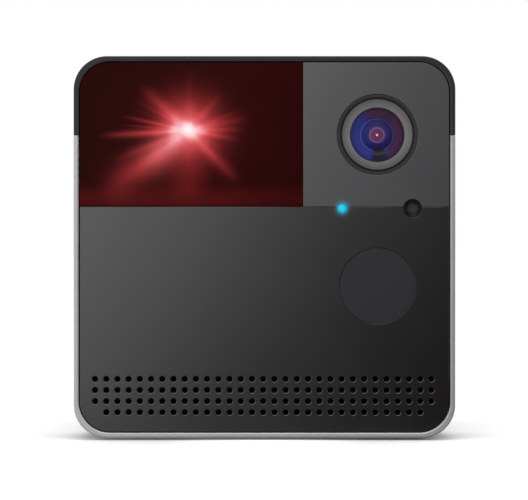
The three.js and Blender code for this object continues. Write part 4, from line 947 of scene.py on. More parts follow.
def board_material():
    """Green circuit board: solder mask with lighter tracks and tinned pads."""
    finish = Finish("board_solder_mask")
    inputs = {"Vector": finish.position(), "Scale": 420.0}
    look = {"distance": "CHEBYCHEV", "feature": "F1"}
    cells = finish.get("ShaderNodeTexVoronoi", inputs, "Distance", **look)
    tracks = finish.step(cells, 0.42, 0.47)
    pads = finish.step(cells, 0.13, 0.10)
    mask = finish.mix(tracks, (0.010, 0.070, 0.035), (0.020, 0.120, 0.060))
    rough = finish.step(pads, 0.0, 1.0, 0.42, 0.25)
    finish.paint(base_color=finish.mix(pads, mask, (0.55, 0.53, 0.48)), metallic=pads, roughness=rough)
    finish.bump(0.4, 0.05, tracks)
    return finish.material


# The bezel's cone, its edge and the groove's edge each shade between two distances from the middle, in
# millimetres; the cone's paler inner part is a painted highlight and the dark groove is painted shade. The
# cone darkens between two heights as painted shade, with the share at each
BEZEL_CONE_HIGHLIGHT = (5.4, 7.0)
BEZEL_EDGE = (6.98, 7.04)
BEZEL_GROOVE_SHADE = (7.15, 7.4)
BEZEL_LOW_SHADE = (-1.0, -6.5, 0.0, 0.32)


def bezel_material():
    """Satin bezel: a cone that leads in to the glass, paler inwards as a painted highlight and darker below
    as painted shade, and a groove darkened with painted shade and a dark rim round it.
    """
    finish = Finish("bezel_satin", roughness=0.5, specular_ior_level=0.2)
    offset = finish.millimetres_from(*LENS)
    distance = finish.length(offset)
    # Painted highlight on the cone towards the glass, painted shade at its bottom and in the groove
    cone = finish.mix(finish.step(distance, *BEZEL_CONE_HIGHLIGHT), (0.205, 0.190, 0.200), (0.118, 0.116, 0.113))
    cone = finish.mix(finish.step(finish.parts(offset)[2], *BEZEL_LOW_SHADE), cone, (0, 0, 0))
    rim = finish.mix(finish.step(distance, *BEZEL_GROOVE_SHADE), (0.006, 0.006, 0.006), (0.030, 0.031, 0.030))
    fine, slow = finish.grain(4200.0)
    finish.patchy(finish.mix(finish.step(distance, *BEZEL_EDGE), cone, rim), slow, 0.05)
    finish.bump(0.4, 0.006, fine)
    return finish.material


# Distances in millimetres that the sensor's and the status light's middles shade between, then how bright the
# light's edge is next to its middle, how dark its plastic is, and the strength of its glow
SENSOR_MIDDLE = (1.35, 0.6)
STATUS_MIDDLE = (1.02, 0.3)
STATUS_EDGE = 0.45
STATUS_DARK = 0.9
STATUS_GLOW = 0.92


def sensor_material():
    """The light sensor's dark cap, a little paler over its dished middle."""
    finish = Finish("sensor_cap_dark", roughness=0.3, specular_ior_level=0.08)
    middle = finish.step(finish.length(finish.millimetres_from(*SENSOR)), *SENSOR_MIDDLE)
    colour = finish.mix(middle, (0.009, 0.008, 0.0085), (0.040, 0.036, 0.037))
    smear = finish.noise(finish.position(), 900.0, 3.0, 0.5)
    finish.paint(base_color=finish.mix(smear, colour, finish.mix(0.85, (0, 0, 0), colour)))
    return finish.material


def status_material():
    """The lit light pipe: bright all over and a little paler in the middle."""
    finish = Finish("status_light_lit", roughness=0.25)
    middle = finish.step(finish.length(finish.millimetres_from(*STATUS)), *STATUS_MIDDLE)
    dim = [c * STATUS_EDGE for c in colours().status]
    colour = finish.mix(middle, dim, colours().status)
    finish.paint(base_color=finish.mix(STATUS_DARK, colour, (0, 0, 0)))
    finish.glow(colour, STATUS_GLOW)
    return finish.material


def make_materials():
    """Every finish, by the name that the pieces ask for."""
    c = colours()
    # Name, colour, roughness, scale and height of the grain, patches, chamfer colour and plain shader values.
    # The chamfer colour is a painted highlight, on the sleeve also its polished edge
    moulded = {
        "aluminium": ("sleeve_blasted", c.aluminium, 0.52, 5200.0, 0.010, 0.02, (0.72, 0.71, 0.715)),
        "hood": ("hood_moulded", c.hood, 0.48, 3400.0, 0.015, 0.10, (0.045, 0.04, 0.043)),
        "night": ("night_window_satin", c.night, 0.42, 3000.0, 0.004, 0.05),
        "black": ("black_moulded", (0.012, 0.012, 0.013), 0.55, 2600.0, 0.02),
        "rear": ("rear_cover_moulded", (0.016, 0.016, 0.018), 0.48, 2400.0, 0.035, 0.12),
        "filter": ("filter_coated", (0.05, 0.012, 0.06), 0.08, 1500.0, 0.001, 0.05),
        "rubber": ("foot_rubber_fine", (0.011, 0.011, 0.0115), 0.82, 1800.0, 0.06, 0.15),
        "nylon": ("nylon_natural", (0.66, 0.63, 0.56), 0.48, 1500.0, 0.02, 0.10),
        "paper": ("cone_pressed_paper", (0.024, 0.023, 0.021), 0.9, 900.0, 0.08, 0.3),
        "laser_lens": ("laser_lens_red", (0.18, 0.004, 0.004), 0.08, 1500.0, 0.002),
        "tongue": ("socket_tongue_moulded", (0.010, 0.010, 0.010), 0.5, 2600.0, 0.01),
    }
    plain = {
        "aluminium": {"metallic": 1.0},
        "hood": {"specular_ior_level": 0.42},
        "night": {"specular_ior_level": 0.35},
        "nylon": {"subsurface_weight": 0.1},
    }
    return {
        **{name: grained(*look, **plain.get(name, {})) for name, look in moulded.items()},
        "front": face_gloss("front_gloss", c.front, 0.20),
        "camera": face_gloss("camera_panel_gloss", c.camera, 0.22, 1.55),
        "window": window_material(),
        "bezel": bezel_material(),
        "lens_inside": lens_reflection_material(),
        "lens_glass": clear_glass("lens_front_coating", (0.90, 0.90, 1.0), 1.12),
        "status": status_material(),
        "sensor": sensor_material(),
        "cloth": cloth_material(),
        "brass": drawn_metal("brass_turned", (0.62, 0.42, 0.16), 0.30, (1, 1, 14)),
        "steel": drawn_metal("steel_plated", (0.46, 0.47, 0.48), 0.32, (12, 1, 1)),
        "contact": drawn_metal("contact_gold", (0.75, 0.50, 0.18), 0.25, (1, 12, 1)),
        "board": board_material(),
        "epoxy": clear_glass("led_epoxy", (0.80, 0.86, 0.95), 1.45),
    }


# The finish of each CAD node that stays visible, by its material slot
SLOT_FINISH = {
    "sleeve_aluminium": "aluminium",
    "hood_plastic": "hood",
    "face_plastic": "front",
    "camera_panel_plastic": "camera",
    "laser_window_plastic": "window",
    "night_window_plastic": "night",
    "black_plastic": "black",
    "bezel_black": "bezel",
    "lens_glass": "filter",
    "status_light": "status",
    "laser_red": "laser_lens",
    "grille_cloth": "cloth",
    "foot_rubber": "rubber",
    "brass": "brass",
    "steel": "steel",
    "board_laminate": "board",
    "nylon": "nylon",
    "cone_paper": "paper",
    "clear_epoxy": "epoxy",
}


# Sleeve and hood


def tube(name, profile):
    """A rounded square tube whose wall has a closed profile of (inset, y). Its lip has the face's corner."""
    bm = bmesh.new()
    rings = []
    for inset, y in profile:
        lip = inset > SLEEVE_WALL / 2 and y <= LIP_DEPTH - BODY_HALF
        rings.append(ring(bm, body_outline(inset, FACE_CORNER if lip else BODY_CORNER), y))
    bridge(bm, [*rings, rings[0]])
    return finish_mesh(bm, name)


def rimmed_tube(name, inner, back, back_round):
    """A tube with the rim's lip and chamfer in front, the inner profile given, and a rounded back edge."""
    s = sizes()
    edge, chamfer = s.sleeve_round / MM, s.sleeve_chamfer / MM
    front = -BODY_HALF
    end = front + LIP_DEPTH
    profile = [
        *((LIP_WALL, front + chamfer), (LIP_WALL, end), (SLEEVE_WALL, end + LIP_WALL - SLEEVE_WALL)),
        *inner,
        *edge_levels(back_round, back, -1, 5),
        *reversed(edge_levels(edge, front, 1, 5)),
        (LIP_WALL - chamfer, front),
    ]
    return tube(name, profile)


def make_sleeve():
    s = sizes()
    edge, chamfer = s.sleeve_round / MM, s.sleeve_chamfer / MM
    back = BODY_HALF
    inner = [(SLEEVE_WALL, back - chamfer), (SLEEVE_WALL - chamfer, back)]
    sleeve = rimmed_tube("sleeve_tube", inner, back, edge)
    notch = cutting_box("notch", HOOD_BOTTOM, HOOD_BACK)
    bm = bmesh.new()
    turned_rings(bm, [(0, -2), (TRIPOD_BORE, -2), (TRIPOD_BORE, 4), (0, 4)])
    turn(bm, 90, "X")
    bore = finish_mesh(bm, "tripod_bore")
    boolean(sleeve, notch, "DIFFERENCE")
    boolean(sleeve, bore, "DIFFERENCE")
    piece = modified(sleeve, "sleeve_shell")
    remove(notch, bore)
    dressed(piece, "aluminium", "sleeve_aluminium", "body_sleeve")


def make_hood():
    back, inner = HOOD_BACK - HAIR_SEAM, LINING_INSET + LINING_WALL
    profile = [(SLEEVE_WALL, HOOD_STEP), (inner, HOOD_STEP), (inner, back)]
    hood = rimmed_tube("hood_tube", profile, back, HOOD_BACK_ROUND)
    start, end = HOOD_STEP + 0.2, HOOD_BACK + LIP_REACH
    lip = tube("hood_lip", [(inner, start), (inner, end), (LINING_INSET, end), (LINING_INSET, start)])
    above = cutting_box("above_seam", HOOD_BOTTOM + HAIR_SEAM, BEYOND)
    lip_room = cutting_box("above_lip", HOOD_BOTTOM - LIP_REACH, BEYOND)
    boolean(hood, above, "INTERSECT")
    boolean(lip, lip_room, "INTERSECT")
    outer, inside = modified(hood, "hood_outer"), modified(lip, "hood_inside")
    boolean(outer, inside, "UNION")
    piece = modified(outer, "hood_shell")
    remove(above, lip_room, inside)
    dressed(piece, "hood", "hood_plastic", "radio_hood")


# Face panels: their sides, the top of the face, and their edges along the seams

FACE_SIDE = BODY_HALF - PANEL_INSET
FACE_TOP = BODY_TOP - PANEL_INSET
ABOVE_SEAM = SEAM_Z + FACE_SEAM / 2
BELOW_SEAM = SEAM_Z - FACE_SEAM / 2
SEAM_BITES = ((STATUS, STATUS_RADIUS + SEAT_GAP), (SENSOR, SENSOR_RADIUS + SEAT_GAP))


def bitten(bites, edge_z, from_below):
    """Points where round parts on the seam bite into a panel's edge, in the order that the edge is walked."""
    points = []
    for (x, z), radius in bites:
        angle = math.asin((edge_z - z) / radius)
        walk = (angle, -math.pi - angle, 28) if from_below else (math.pi - angle, angle, 14)
        points += arc(x, z, radius, *walk)
    return points


def face_corner(side, top, start):
    """One round corner of the face, as far in as the panels' edges."""
    radius = FACE_CORNER - PANEL_INSET
    z = FACE_TOP - radius if top else BODY_BASE + PANEL_INSET + radius
    return arc(side * (FACE_SIDE - radius), z, radius, start, start + math.pi / 2, CORNER_STEPS)


def front_panel_outline():
    return clean(
        [
            *face_corner(1, False, -math.pi / 2),
            (FACE_SIDE, BELOW_SEAM),
            *bitten(SEAM_BITES[::-1], BELOW_SEAM, True),
            (-FACE_SIDE, BELOW_SEAM),
            *face_corner(-1, False, math.pi),
        ]
    )


def camera_panel_outline():
    left = WINDOW_EDGE_X + FACE_SEAM / 2
    seam = [(left, ABOVE_SEAM), *bitten(SEAM_BITES, ABOVE_SEAM, False), (FACE_SIDE, ABOVE_SEAM)]
    return clean([*seam, *face_corner(1, True, 0), (left, FACE_TOP)])


def window_outline():
    right = WINDOW_EDGE_X - FACE_SEAM / 2
    straight = [(-FACE_SIDE, ABOVE_SEAM), (right, ABOVE_SEAM), (right, FACE_TOP)]
    return clean([*straight, *face_corner(-1, True, math.pi / 2)])


def panel(name, outline, *holes):
    """A flat face panel with rounded edges round its outline and its holes."""
    edge = sizes().panel_round / MM
    bm = bmesh.new()
    walls = [rounded_wall(bm, outline, PANEL_FRONT, PANEL_BACK, edge)]
    walls += [rounded_wall(bm, hole, PANEL_FRONT, PANEL_BACK, edge, True) for hole in holes]
    for first, *others in zip(*walls):
        cap(bm, first, others)
    return finish_mesh(bm, name)


def wire_piece(name, *loops):
    """Closed lines in the X-Y plane."""
    points, edges = [], []
    for loop in loops:
        first, count = len(points), len(loop)
        points += [(x * MM, z * MM, 0) for x, z in loop]
        edges += [(first + i, first + (i + 1) % count) for i in range(count)]
    mesh = bpy.data.meshes.new(name)
    mesh.from_pydata(points, edges, [])
    return add_object(name, mesh)


def hole_lining():
    """The rounded mouth and the bore of one grille hole, round the Z axis, open at both ends."""
    s = sizes()
    radius, mouth = s.hole_radius / MM, s.hole_round / MM
    bm = bmesh.new()
    levels = [(radius + out, y) for out, y in edge_levels(mouth, PANEL_FRONT, 1, 3)]
    turned_rings(bm, [*levels, (radius, PANEL_BACK)], steps=s.hole_steps)
    turn(bm, -90, "X")
    return finish_mesh(bm, "hole_lining", recalculate=False)


def geometry_tree(name, words):
    """The graph of a new geometry node tree, and its named inputs after the piece's own geometry."""
    tree = bpy.data.node_groups.new(name, "GeometryNodeTree")
    open_sockets(tree, "INPUT", "Geometry: Geometry, " + words)
    open_sockets(tree, "OUTPUT", "Geometry: Geometry")
    graph = Graph(tree)
    return graph, group_inputs(graph)


def joined(graph, *parts):
    whole = graph.node("GeometryNodeJoinGeometry")
    for part in parts:
        graph.feed(whole.inputs[0], part)
    return Value(graph, whole.outputs[0])


def object_geometry(graph, source):
    return graph.get("GeometryNodeObjectInfo", {"Object": source}, "Geometry")


def close_tree(graph, geometry, material):
    """Ends a geometry tree with Realize Instances and Set Material."""
    real = graph.get("GeometryNodeRealizeInstances", {0: geometry})
    painted = graph.get("GeometryNodeSetMaterial", {"Geometry": real, "Material": material})
    graph.node("NodeGroupOutput", {0: painted})
    return graph.tree


def run_tree(piece, tree, values, name):
    """Runs a geometry tree on a piece with its named input values, and keeps the result as a plain mesh."""
    modifier = piece.modifiers.new(tree.name, "NODES")
    modifier.node_group = tree
    for item in tree.interface.items_tree:
        if item.in_out == "INPUT" and item.name in values:
            modifier[item.identifier] = values[item.name]
    return modified(piece, name)


def grille_tree():
    """Sheets filled inside a boundary and outside a grid of round holes, with a lining in each hole."""
    graph, inputs = geometry_tree(
        "perforated_sheet",
        "Back Boundary: Object, Lining: Object, Columns: Int, Rows: Int, Pitch, Row Pitch, First Column,"
        " First Row, Mouth Radius, Bore Radius, Steps: Int, Front Level, Back Level, Material: Material",
    )
    boundary, back_boundary, lining, columns, rows, pitch, row_pitch, first_column, first_row = inputs[:9]
    mouth_radius, bore_radius, steps, front_level, back_level, material = inputs[9:]
    width, height = (columns - 1.0) * pitch, (rows - 1.0) * row_pitch
    grid = graph.get(
        "GeometryNodeMeshGrid",
        {"Size X": width, "Size Y": height, "Vertices X": columns, "Vertices Y": rows},
    )
    middle_x, middle_y = graph.fused(width, 0.5, first_column), graph.fused(height, 0.5, first_row)
    centre = graph.combined(middle_x, middle_y)
    placed = graph.get("GeometryNodeTransform", {0: grid, "Translation": centre})
    x, y, _ = graph.parts(graph.get("GeometryNodeInputPosition"))
    ends = graph.math("GREATER_THAN", abs(x - middle_x), (width - pitch) * 0.5)
    lowest = graph.math("LESS_THAN", y, graph.fused(row_pitch, 0.5, first_row))
    points = graph.get("GeometryNodeMeshToPoints", {0: placed})
    kept = graph.get("GeometryNodeDeleteGeometry", {0: points, 1: ends * lowest}, domain="POINT")

    def on_points(instance):
        return graph.get("GeometryNodeInstanceOnPoints", {"Points": kept, "Instance": instance})

    def sheet(edge, radius, level):
        hole = graph.get("GeometryNodeCurvePrimitiveCircle", {"Resolution": steps, "Radius": radius})
        holes = graph.get("GeometryNodeRealizeInstances", {0: on_points(hole)})
        curves = joined(graph, holes, graph.get("GeometryNodeMeshToCurve", {0: edge}))
        filled = graph.get("GeometryNodeFillCurve", {0: curves})
        lift = graph.combined(None, None, level)
        return graph.get("GeometryNodeTransform", {0: filled, "Translation": lift})

    front = sheet(boundary, mouth_radius, front_level)
    back = sheet(object_geometry(graph, back_boundary), bore_radius, back_level)
    flipped = graph.get("GeometryNodeFlipFaces", {0: back})
    whole = joined(graph, front, flipped, on_points(object_geometry(graph, lining)))
    stood = graph.get("GeometryNodeTransform", {0: whole, "Rotation": (math.pi / 2, 0, 0)})
    return close_tree(graph, stood, material)


def make_front_panel():
    s = sizes()
    edge = s.panel_round / MM
    outline, hole = front_panel_outline(), circle(*NIGHT, NIGHT_RADIUS + FACE_SEAM)
    bm = bmesh.new()
    rounded_wall(bm, outline, PANEL_FRONT, PANEL_BACK, edge)
    rounded_wall(bm, hole, PANEL_FRONT, PANEL_BACK, edge, True)
    front = wire_piece("front_boundary", grown(outline, -edge), grown(hole, edge))
    back = wire_piece("back_boundary", outline, hole)
    lining = hole_lining()
    values = {
        "Back Boundary": back,
        "Lining": lining,
        "Columns": s.hole_columns,
        "Rows": s.hole_rows,
        "Pitch": s.hole_pitch,
        "Row Pitch": s.row_pitch,
        "First Column": GRILLE_FIRST_X * MM,
        "First Row": GRILLE_FIRST_Z * MM,
        "Mouth Radius": s.hole_radius + s.hole_round,
        "Bore Radius": s.hole_radius,
        "Steps": s.hole_steps,
        "Front Level": -PANEL_FRONT * MM,
        "Back Level": -PANEL_BACK * MM,
        "Material": finishes["front"],
    }
    sheets = run_tree(front, grille_tree(), values, "grille_sheets")
    bm.from_mesh(sheets.data)
    remove(sheets, back, lining)
    dressed(finish_mesh(bm, "front_face"), "front", "face_plastic", "front_panel")


def make_face_panels():
    bezel_hole = circle(*LENS, BEZEL_RADIUS + SEAT_GAP)
    camera = panel("camera_face", camera_panel_outline(), bezel_hole)
    dressed(camera, "camera", "camera_panel_plastic", "camera_panel")
    window = panel("laser_filter_window", window_outline())
    dressed(window, "window", "laser_window_plastic", "laser_window")
    edge, radius, depth = 0.08, NIGHT_RADIUS, PANEL_BACK - PANEL_FRONT
    disc = from_face([(0, 0), (radius - edge, 0), (radius, edge), (radius, depth), (0, depth)])
    round_part("night_window_disc", disc, NIGHT, "night", "night_window_plastic", "night_window")


# Lens and indicators


def from_face(profile):
    """A profile whose depths count from the panels' front."""
    return [(radius, PANEL_FRONT + depth) for radius, depth in profile]


def make_lens():
    """Bezel, barrel, inner element and front glass, each from a profile of (radius, depth)."""
    bezel = [(5.45, 0.9), (7.0, 0.0), (7.0, 0.35), (7.5, 0.35), (7.5, 0.0), (8.0, 0.0), (8.0, 1.6)]
    bezel += [(7.0, 1.6), (7.0, 4.5), (6.45, 4.5), (6.45, 1.35), (5.45, 1.35), (5.45, 0.9)]
    profile = softened(from_face(bezel), BEZEL_ROUND)
    round_part("lens_bezel_ring", profile, LENS, "bezel", "bezel_black", "lens_bezel")

    dish = [(3.42 + 1.73 * t, 2.9 - 1.5 * t**1.6) for t in [i / 8 for i in range(9)]]
    barrel = [(0, 4.4), (1.7, 4.4), (1.7, 2.95), (3.22, 2.95), (3.25, 2.72), (3.38, 2.72), *dish]
    barrel += [(6.2, 1.4), (6.2, 6.4), (5.9, 6.4), (5.9, 12.8), (0, 12.8)]
    round_part("lens_barrel_dish", from_face(barrel), LENS, "lens_inside", "lens_glass", "lens_barrel")

    dome = [(3.15 * math.sin(a), 3.1 - 0.75 * math.cos(a)) for a in [i * math.pi / 24 for i in range(11)]]
    profile = from_face([*dome, (3.1, 2.94), (0, 2.94)])
    round_part("lens_inner_element", profile, LENS, "lens_inside", "lens_glass")

    outside = [(5.3 * t, 0.3 + 0.8 * t**2) for t in [i / 16 for i in range(17)]]
    profile = from_face([*outside, (5.3, 1.35), (0, 1.35)])
    round_part("lens_front_dome", profile, LENS, "lens_glass", "lens_glass", "lens_front_glass")


def make_indicators():
    pipe = [(0, 0.0), (0.55, 0.01), (0.9, 0.04), (1.0, 0.14), (1.0, 3.5), (1.6, 3.5), (1.6, 4.1), (0, 4.1)]
    look = ("status", "status_light", "status_light_pipe")
    round_part("status_light", from_face(pipe), STATUS, *look, steps=40)
    dish = [(0, 0.34), (0.7, 0.33), (1.1, 0.30), (1.2, 0.26), (1.55, 0.09), (1.7, 0.02), (1.8, 0.10)]
    stem = [(1.8, 1.6), (1.15, 1.6), (1.15, 3.5), (1.75, 3.5), (1.75, 4.1), (0, 4.1)]
    look = ("sensor", "night_window_plastic", "light_sensor_window")
    round_part("light_sensor_cap", from_face(dish + stem), SENSOR, *look, steps=48)


# Rear cover, its screws, socket and button

SCREW_PLACES = [(side * SCREW_X, z) for side in (-1, 1) for z in SCREW_Z]


def inlet_box(half_width, half_height, *corner):
    """A rounded box round the middle of the power inlet."""
    return rounded_box(-half_width, PLUG_Z - half_height, half_width, PLUG_Z + half_height, *corner)


def make_rear_cover():
    """The cover's plate and skirt, with sunk holes for four screws, the power inlet and the button."""
    skirt_wall, sink, seat, hole = 1.4, 2.1, COVER_BACK - 1.1, 1.2
    bm = bmesh.new()
    outline, inner = body_outline(LINING_INSET), body_outline(LINING_INSET + skirt_wall)
    outside, _ = rounded_wall(bm, outline, COVER_BACK, COVER_SKIRT, 0.3)
    skirt = ring(bm, outline, COVER_SKIRT)
    rim, ceiling = ring(bm, inner, COVER_SKIRT), ring(bm, inner, COVER_FRONT)
    bridge(bm, [skirt, rim, ceiling])
    back_loops, front_loops = [], []
    for x, z in SCREW_PLACES:
        near, floor = rounded_wall(bm, circle(x, z, sink, 48), COVER_BACK, seat, 0.08, True)
        shank, through = [ring(bm, circle(x, z, hole, 48), y) for y in (seat, COVER_FRONT)]
        bridge(bm, [floor, shank, through])
        back_loops.append(near)
        front_loops.append(through)
    near, floor = rounded_wall(bm, inlet_box(6.2, 4, 2.0, 10), COVER_BACK, PLUG_FLOOR, 0.2, True)
    back_loops.append(near)
    mouth = inlet_box(4.05, 1.6, 0.9, 8)
    inlet, through = rounded_wall(bm, mouth, PLUG_FLOOR, COVER_FRONT, 0.08, True)
    cap(bm, floor, [inlet])
    front_loops.append(through)
    button = circle(*BUTTON, BUTTON_RADIUS + 0.15)
    near, through = rounded_wall(bm, button, COVER_BACK, COVER_FRONT, 0.12, True)
    cap(bm, outside, [*back_loops, near])
    cap(bm, ceiling, [*front_loops, through])
    dressed(finish_mesh(bm, "rear_cover_shell"), "rear", "black_plastic", "rear_cover")


def cross_screw():
    """One screw round the Z axis, its head up at the origin's height, with a cross recess."""
    head, shank, length, sink = 2.0, 1.1, 7.85, 1.0
    bm = bmesh.new()
    profile = [(0, 0.0), (1.5, 0.0), (1.85, -0.05), (head, -0.2), (head, -sink), (shank, -sink)]
    turned_rings(bm, [*profile, (shank, -length), (0, -length)], steps=32)
    turn(bm, 90, "X")
    screw = finish_mesh(bm, "screw_blank")
    for degrees in (0, 90):
        bm = bmesh.new()
        slot = []
        for x, y, z in ((0.55, 0.12, -0.75), (1.25, 0.24, 0.2)):
            slot.append([vertex(bm, *corner, z) for corner in ((-x, -y), (x, -y), (x, y), (-x, y))])
        bridge(bm, slot)
        bm.faces.new(slot[0][::-1])
        bm.faces.new(slot[1])
        turn(bm, degrees, "Z")
        cutter = finish_mesh(bm, f"screw_slot_{degrees}")
        boolean(screw, cutter, "DIFFERENCE")
        screw = modified(screw, "screw_blank")
        remove(cutter)
    return screw


def screw_tree():
    """A screw at each point, each turned at random by a seeded value."""
    graph, (places, screw, material) = geometry_tree("screw_circle", "Screw: Object, Material: Material")
    points = graph.get("GeometryNodeMeshToPoints", {0: places})
    inputs = {2: 0.0, 3: math.pi, "Seed": 7}
    angle = graph.get("FunctionNodeRandomValue", inputs, 1, data_type="FLOAT")
    spin = graph.combined(-math.pi / 2, angle)
    inputs = {"Points": points, "Instance": object_geometry(graph, screw), "Rotation": spin}
    return close_tree(graph, graph.get("GeometryNodeInstanceOnPoints", inputs), material)


def make_rear_screws():
    mesh = bpy.data.meshes.new("screw_places")
    top = COVER_BACK - 0.05
    mesh.from_pydata([(x * MM, top * MM, z * MM) for x, z in SCREW_PLACES], [], [])
    places = add_object("screw_places", mesh)
    screw = cross_screw()
    values = {"Screw": screw, "Material": finishes["steel"]}
    heads = run_tree(places, screw_tree(), values, "rear_screw_set")
    remove(screw)
    dressed(heads, "steel", "steel", *[f"rear_screw_{i}" for i in range(1, 5)])


def make_socket():
    """The power inlet's steel shell, the tongue inside it and the tongue's five contacts."""
    back, depth, wall = PLUG_FLOOR - SEAT_GAP, 6.0, 0.35
    outer = inlet_box(3.9, 1.45, 0.75, 8)
    bm = bmesh.new()
    near, far = rounded_wall(bm, outer, back, back - depth, 0.1)
    inlet, floor = rounded_wall(bm, grown(outer, -wall), back, back - 5.0, 0.08, True)
    cap(bm, near, [inlet])
    cap(bm, far)
    cap(bm, floor)
    dressed(finish_mesh(bm, "power_socket_shell"), "steel", "steel", "power_socket")

    bm = bmesh.new()
    rounded_bar(bm, inlet_box(2.0, 0.3, 0.12, 4), back - 1.0, back - 5.02, 0.1)
    dressed(finish_mesh(bm, "power_socket_tongue"), "tongue", "black_plastic")

    bm = bmesh.new()
    for i in range(5):
        x = (i - 2) * 0.72
        strip = rounded_box(x - 0.2, PLUG_Z + 0.27, x + 0.2, PLUG_Z + 0.35, 0.03, 2)
        rounded_bar(bm, strip, back - 1.25, back - 4.6, 0.02)
    dressed(finish_mesh(bm, "power_socket_contacts"), "contact", "brass")


def make_button():
    """A dished cap with a flange behind the cover and a stem."""
    stem_end, flange_front, flange_back, flange, stem = 32.8, 34.45, 35.45, 3.9, 1.0
    radius, edge, top, dish = BUTTON_RADIUS, 0.25, COVER_BACK + 0.3, 0.15
    profile = [(0, stem_end), (stem, stem_end), (stem, flange_front), (flange, flange_front)]
    profile += [(flange, flange_back), (radius, flange_back), (radius, top - edge)]
    profile += [(radius - edge * (1 - math.cos(a)), top - edge * (1 - math.sin(a))) for a in (0.4, 0.8, 1.2)]
    profile += [(2.7, top), (2.2, top - 0.03), (1.2, top - dish * 0.8), (0, top - dish)]
    look = ("hood", "hood_plastic", "pairing_button")
    round_part("pairing_button_cap", profile, BUTTON, *look, steps=64, body="button_unit")


# Underside: rubber foot and threaded tripod insert. Both are built along Y and turned to stand along Z


def make_foot():
    """A rubber foot with a hole for the tripod insert and a groove along its edge."""
    side, corner, height, hole_radius, groove = 28, 9, 0.45, 8.375, 0.12
    outline = rounded_box(-side, -side, side, side, corner)
    bm = bmesh.new()
    near, top = rounded_wall(bm, outline, 0.0, height, 0.18)
    mouth, hole_top = rounded_wall(bm, circle(0, 0, hole_radius), 0.0, height, 0.12, True)
    levels = ((2.4, 0), (2.55, groove), (3.05, groove), (3.2, 0))
    lips = [ring(bm, grown(outline, -inset), y) for inset, y in levels]
    bridge(bm, lips)
    cap(bm, near, [lips[0]])
    cap(bm, lips[3], [mouth])
    cap(bm, top, [hole_top])
    turn(bm, 90, "X")
    dressed(finish_mesh(bm, "rubber_foot"), "rubber", "foot_rubber", "foot_pad")


def make_tripod_insert():
    """A flanged brass bushing whose inside thread rises from its lead-in to its full depth."""
    major, flange, wall, base, depth = 3.175, 6.875, 4.875, 0.5, 8.0
    pitch = sizes().thread_pitch / MM
    steps, per_turn, lead, thread_depth, run_in = 48, 10, 0.4, 0.5, 0.8
    count = round(depth / pitch * per_turn)
    bm = bmesh.new()
    levels = []
    for k in range(count + 1):
        level = lead + (depth - lead) * k / count
        row = []
        for i in range(steps):
            angle = 2 * math.pi * i / steps
            phase = (level / pitch + i / steps) % 1.0
            crest = max(0.0, 1 - abs(phase - 0.5) * 2.6)
            ease = min(1.0, (level - lead) / run_in)
            radius = major - thread_depth * min(1.0, crest * 1.25) * ease
            row.append(vertex(bm, radius * math.cos(angle), base + level, radius * math.sin(angle)))
        levels.append(row)
    bridge(bm, levels)
    outside = []
    profile = ((major + lead, 0), (flange - 0.15, 0), (flange, 0.15), (flange, 1.0), (wall, 1.0), (wall, 9.0))
    for radius, level in profile:
        outside.append(ring(bm, circle(0, 0, radius, steps), base + level))
    bridge(bm, outside)
    bridge(bm, [outside[0], levels[0]])
    cap(bm, outside[-1])
    cap(bm, levels[-1])
    turn(bm, 90, "X")
    dressed(finish_mesh(bm, "tripod_bushing"), "brass", "brass", "tripod_insert")


# Stage: floor, light, reflection card and camera

CAMERA_PLACE = (-0.0001, -0.638, 0.0379)
CAMERA_LENS = 205.6

# The card's light at its middle and at most, and how fast it grows upwards and falls to the right, per metre
CARD_HALF = 0.6
CARD_MIDDLE = 0.485
CARD_FULL = 1.5
CARD_RISE = 11.0
CARD_FALL = -21.0

# How white the camera sees the floor, how white it is for the rest of the light, how pale painted light makes
# its darkest shadow and how much paler that grows ahead of the face, between these depths and distances from
# the middle
FLOOR_SEEN = 1.36
FLOOR_LIT = 0.85
FLOOR_LIFT = 0.06
FLOOR_AHEAD = 0.4
AHEAD_DEPTHS = (-32.0, -38.0)
AHEAD_SIDES = (22.0, 2.0)

# How dark the painted shadow at the foot's two ends is. In millimetres, its middle from the body's middle to
# the side and to the front, half its length, and how softly it fades to the sides and to the front and back
FLOOR_SHADE = 0.42
SHADE_ASIDE = 28.0
SHADE_AHEAD = 24.0
SHADE_HALF = 8.0
SHADE_FADE = 6.0
SHADE_DEPTH = 12.0

# What the face mirrors of the floor: its light at the middle and its fall to the right, per metre
FLOOR_MIDDLE = 0.19
FLOOR_FALL = -27.0


def split_by_ray(graph, seen, otherwise, *kinds):
    """One value for the named kinds of ray and another for the rest."""
    paths = graph.node("ShaderNodeLightPath").outputs
    wanted, *others = [Value(graph, paths[kind]) for kind in kinds]
    for other in others:
        wanted = graph.most(wanted, other)
    return graph.between(wanted, otherwise, seen)


def make_world():
    world = bpy.data.worlds.new("studio")
    world.use_nodes = True
    world.node_tree.nodes.clear()
    graph = Graph(world.node_tree)
    strength = split_by_ray(graph, 1.0, 0.75, "Is Camera Ray", "Is Glossy Ray", "Is Transmission Ray")
    light = graph.get("ShaderNodeBackground", {"Color": (1, 1, 1), "Strength": strength})
    graph.node("ShaderNodeOutputWorld", {"Surface": light})
    bpy.context.scene.world = world


def stage_sheet(name, corners, material):
    bm = bmesh.new()
    bm.faces.new([bm.verts.new(c) for c in corners])
    sheet = finish_mesh(bm, name, recalculate=False)
    sheet.data.materials.append(material)
    return sheet


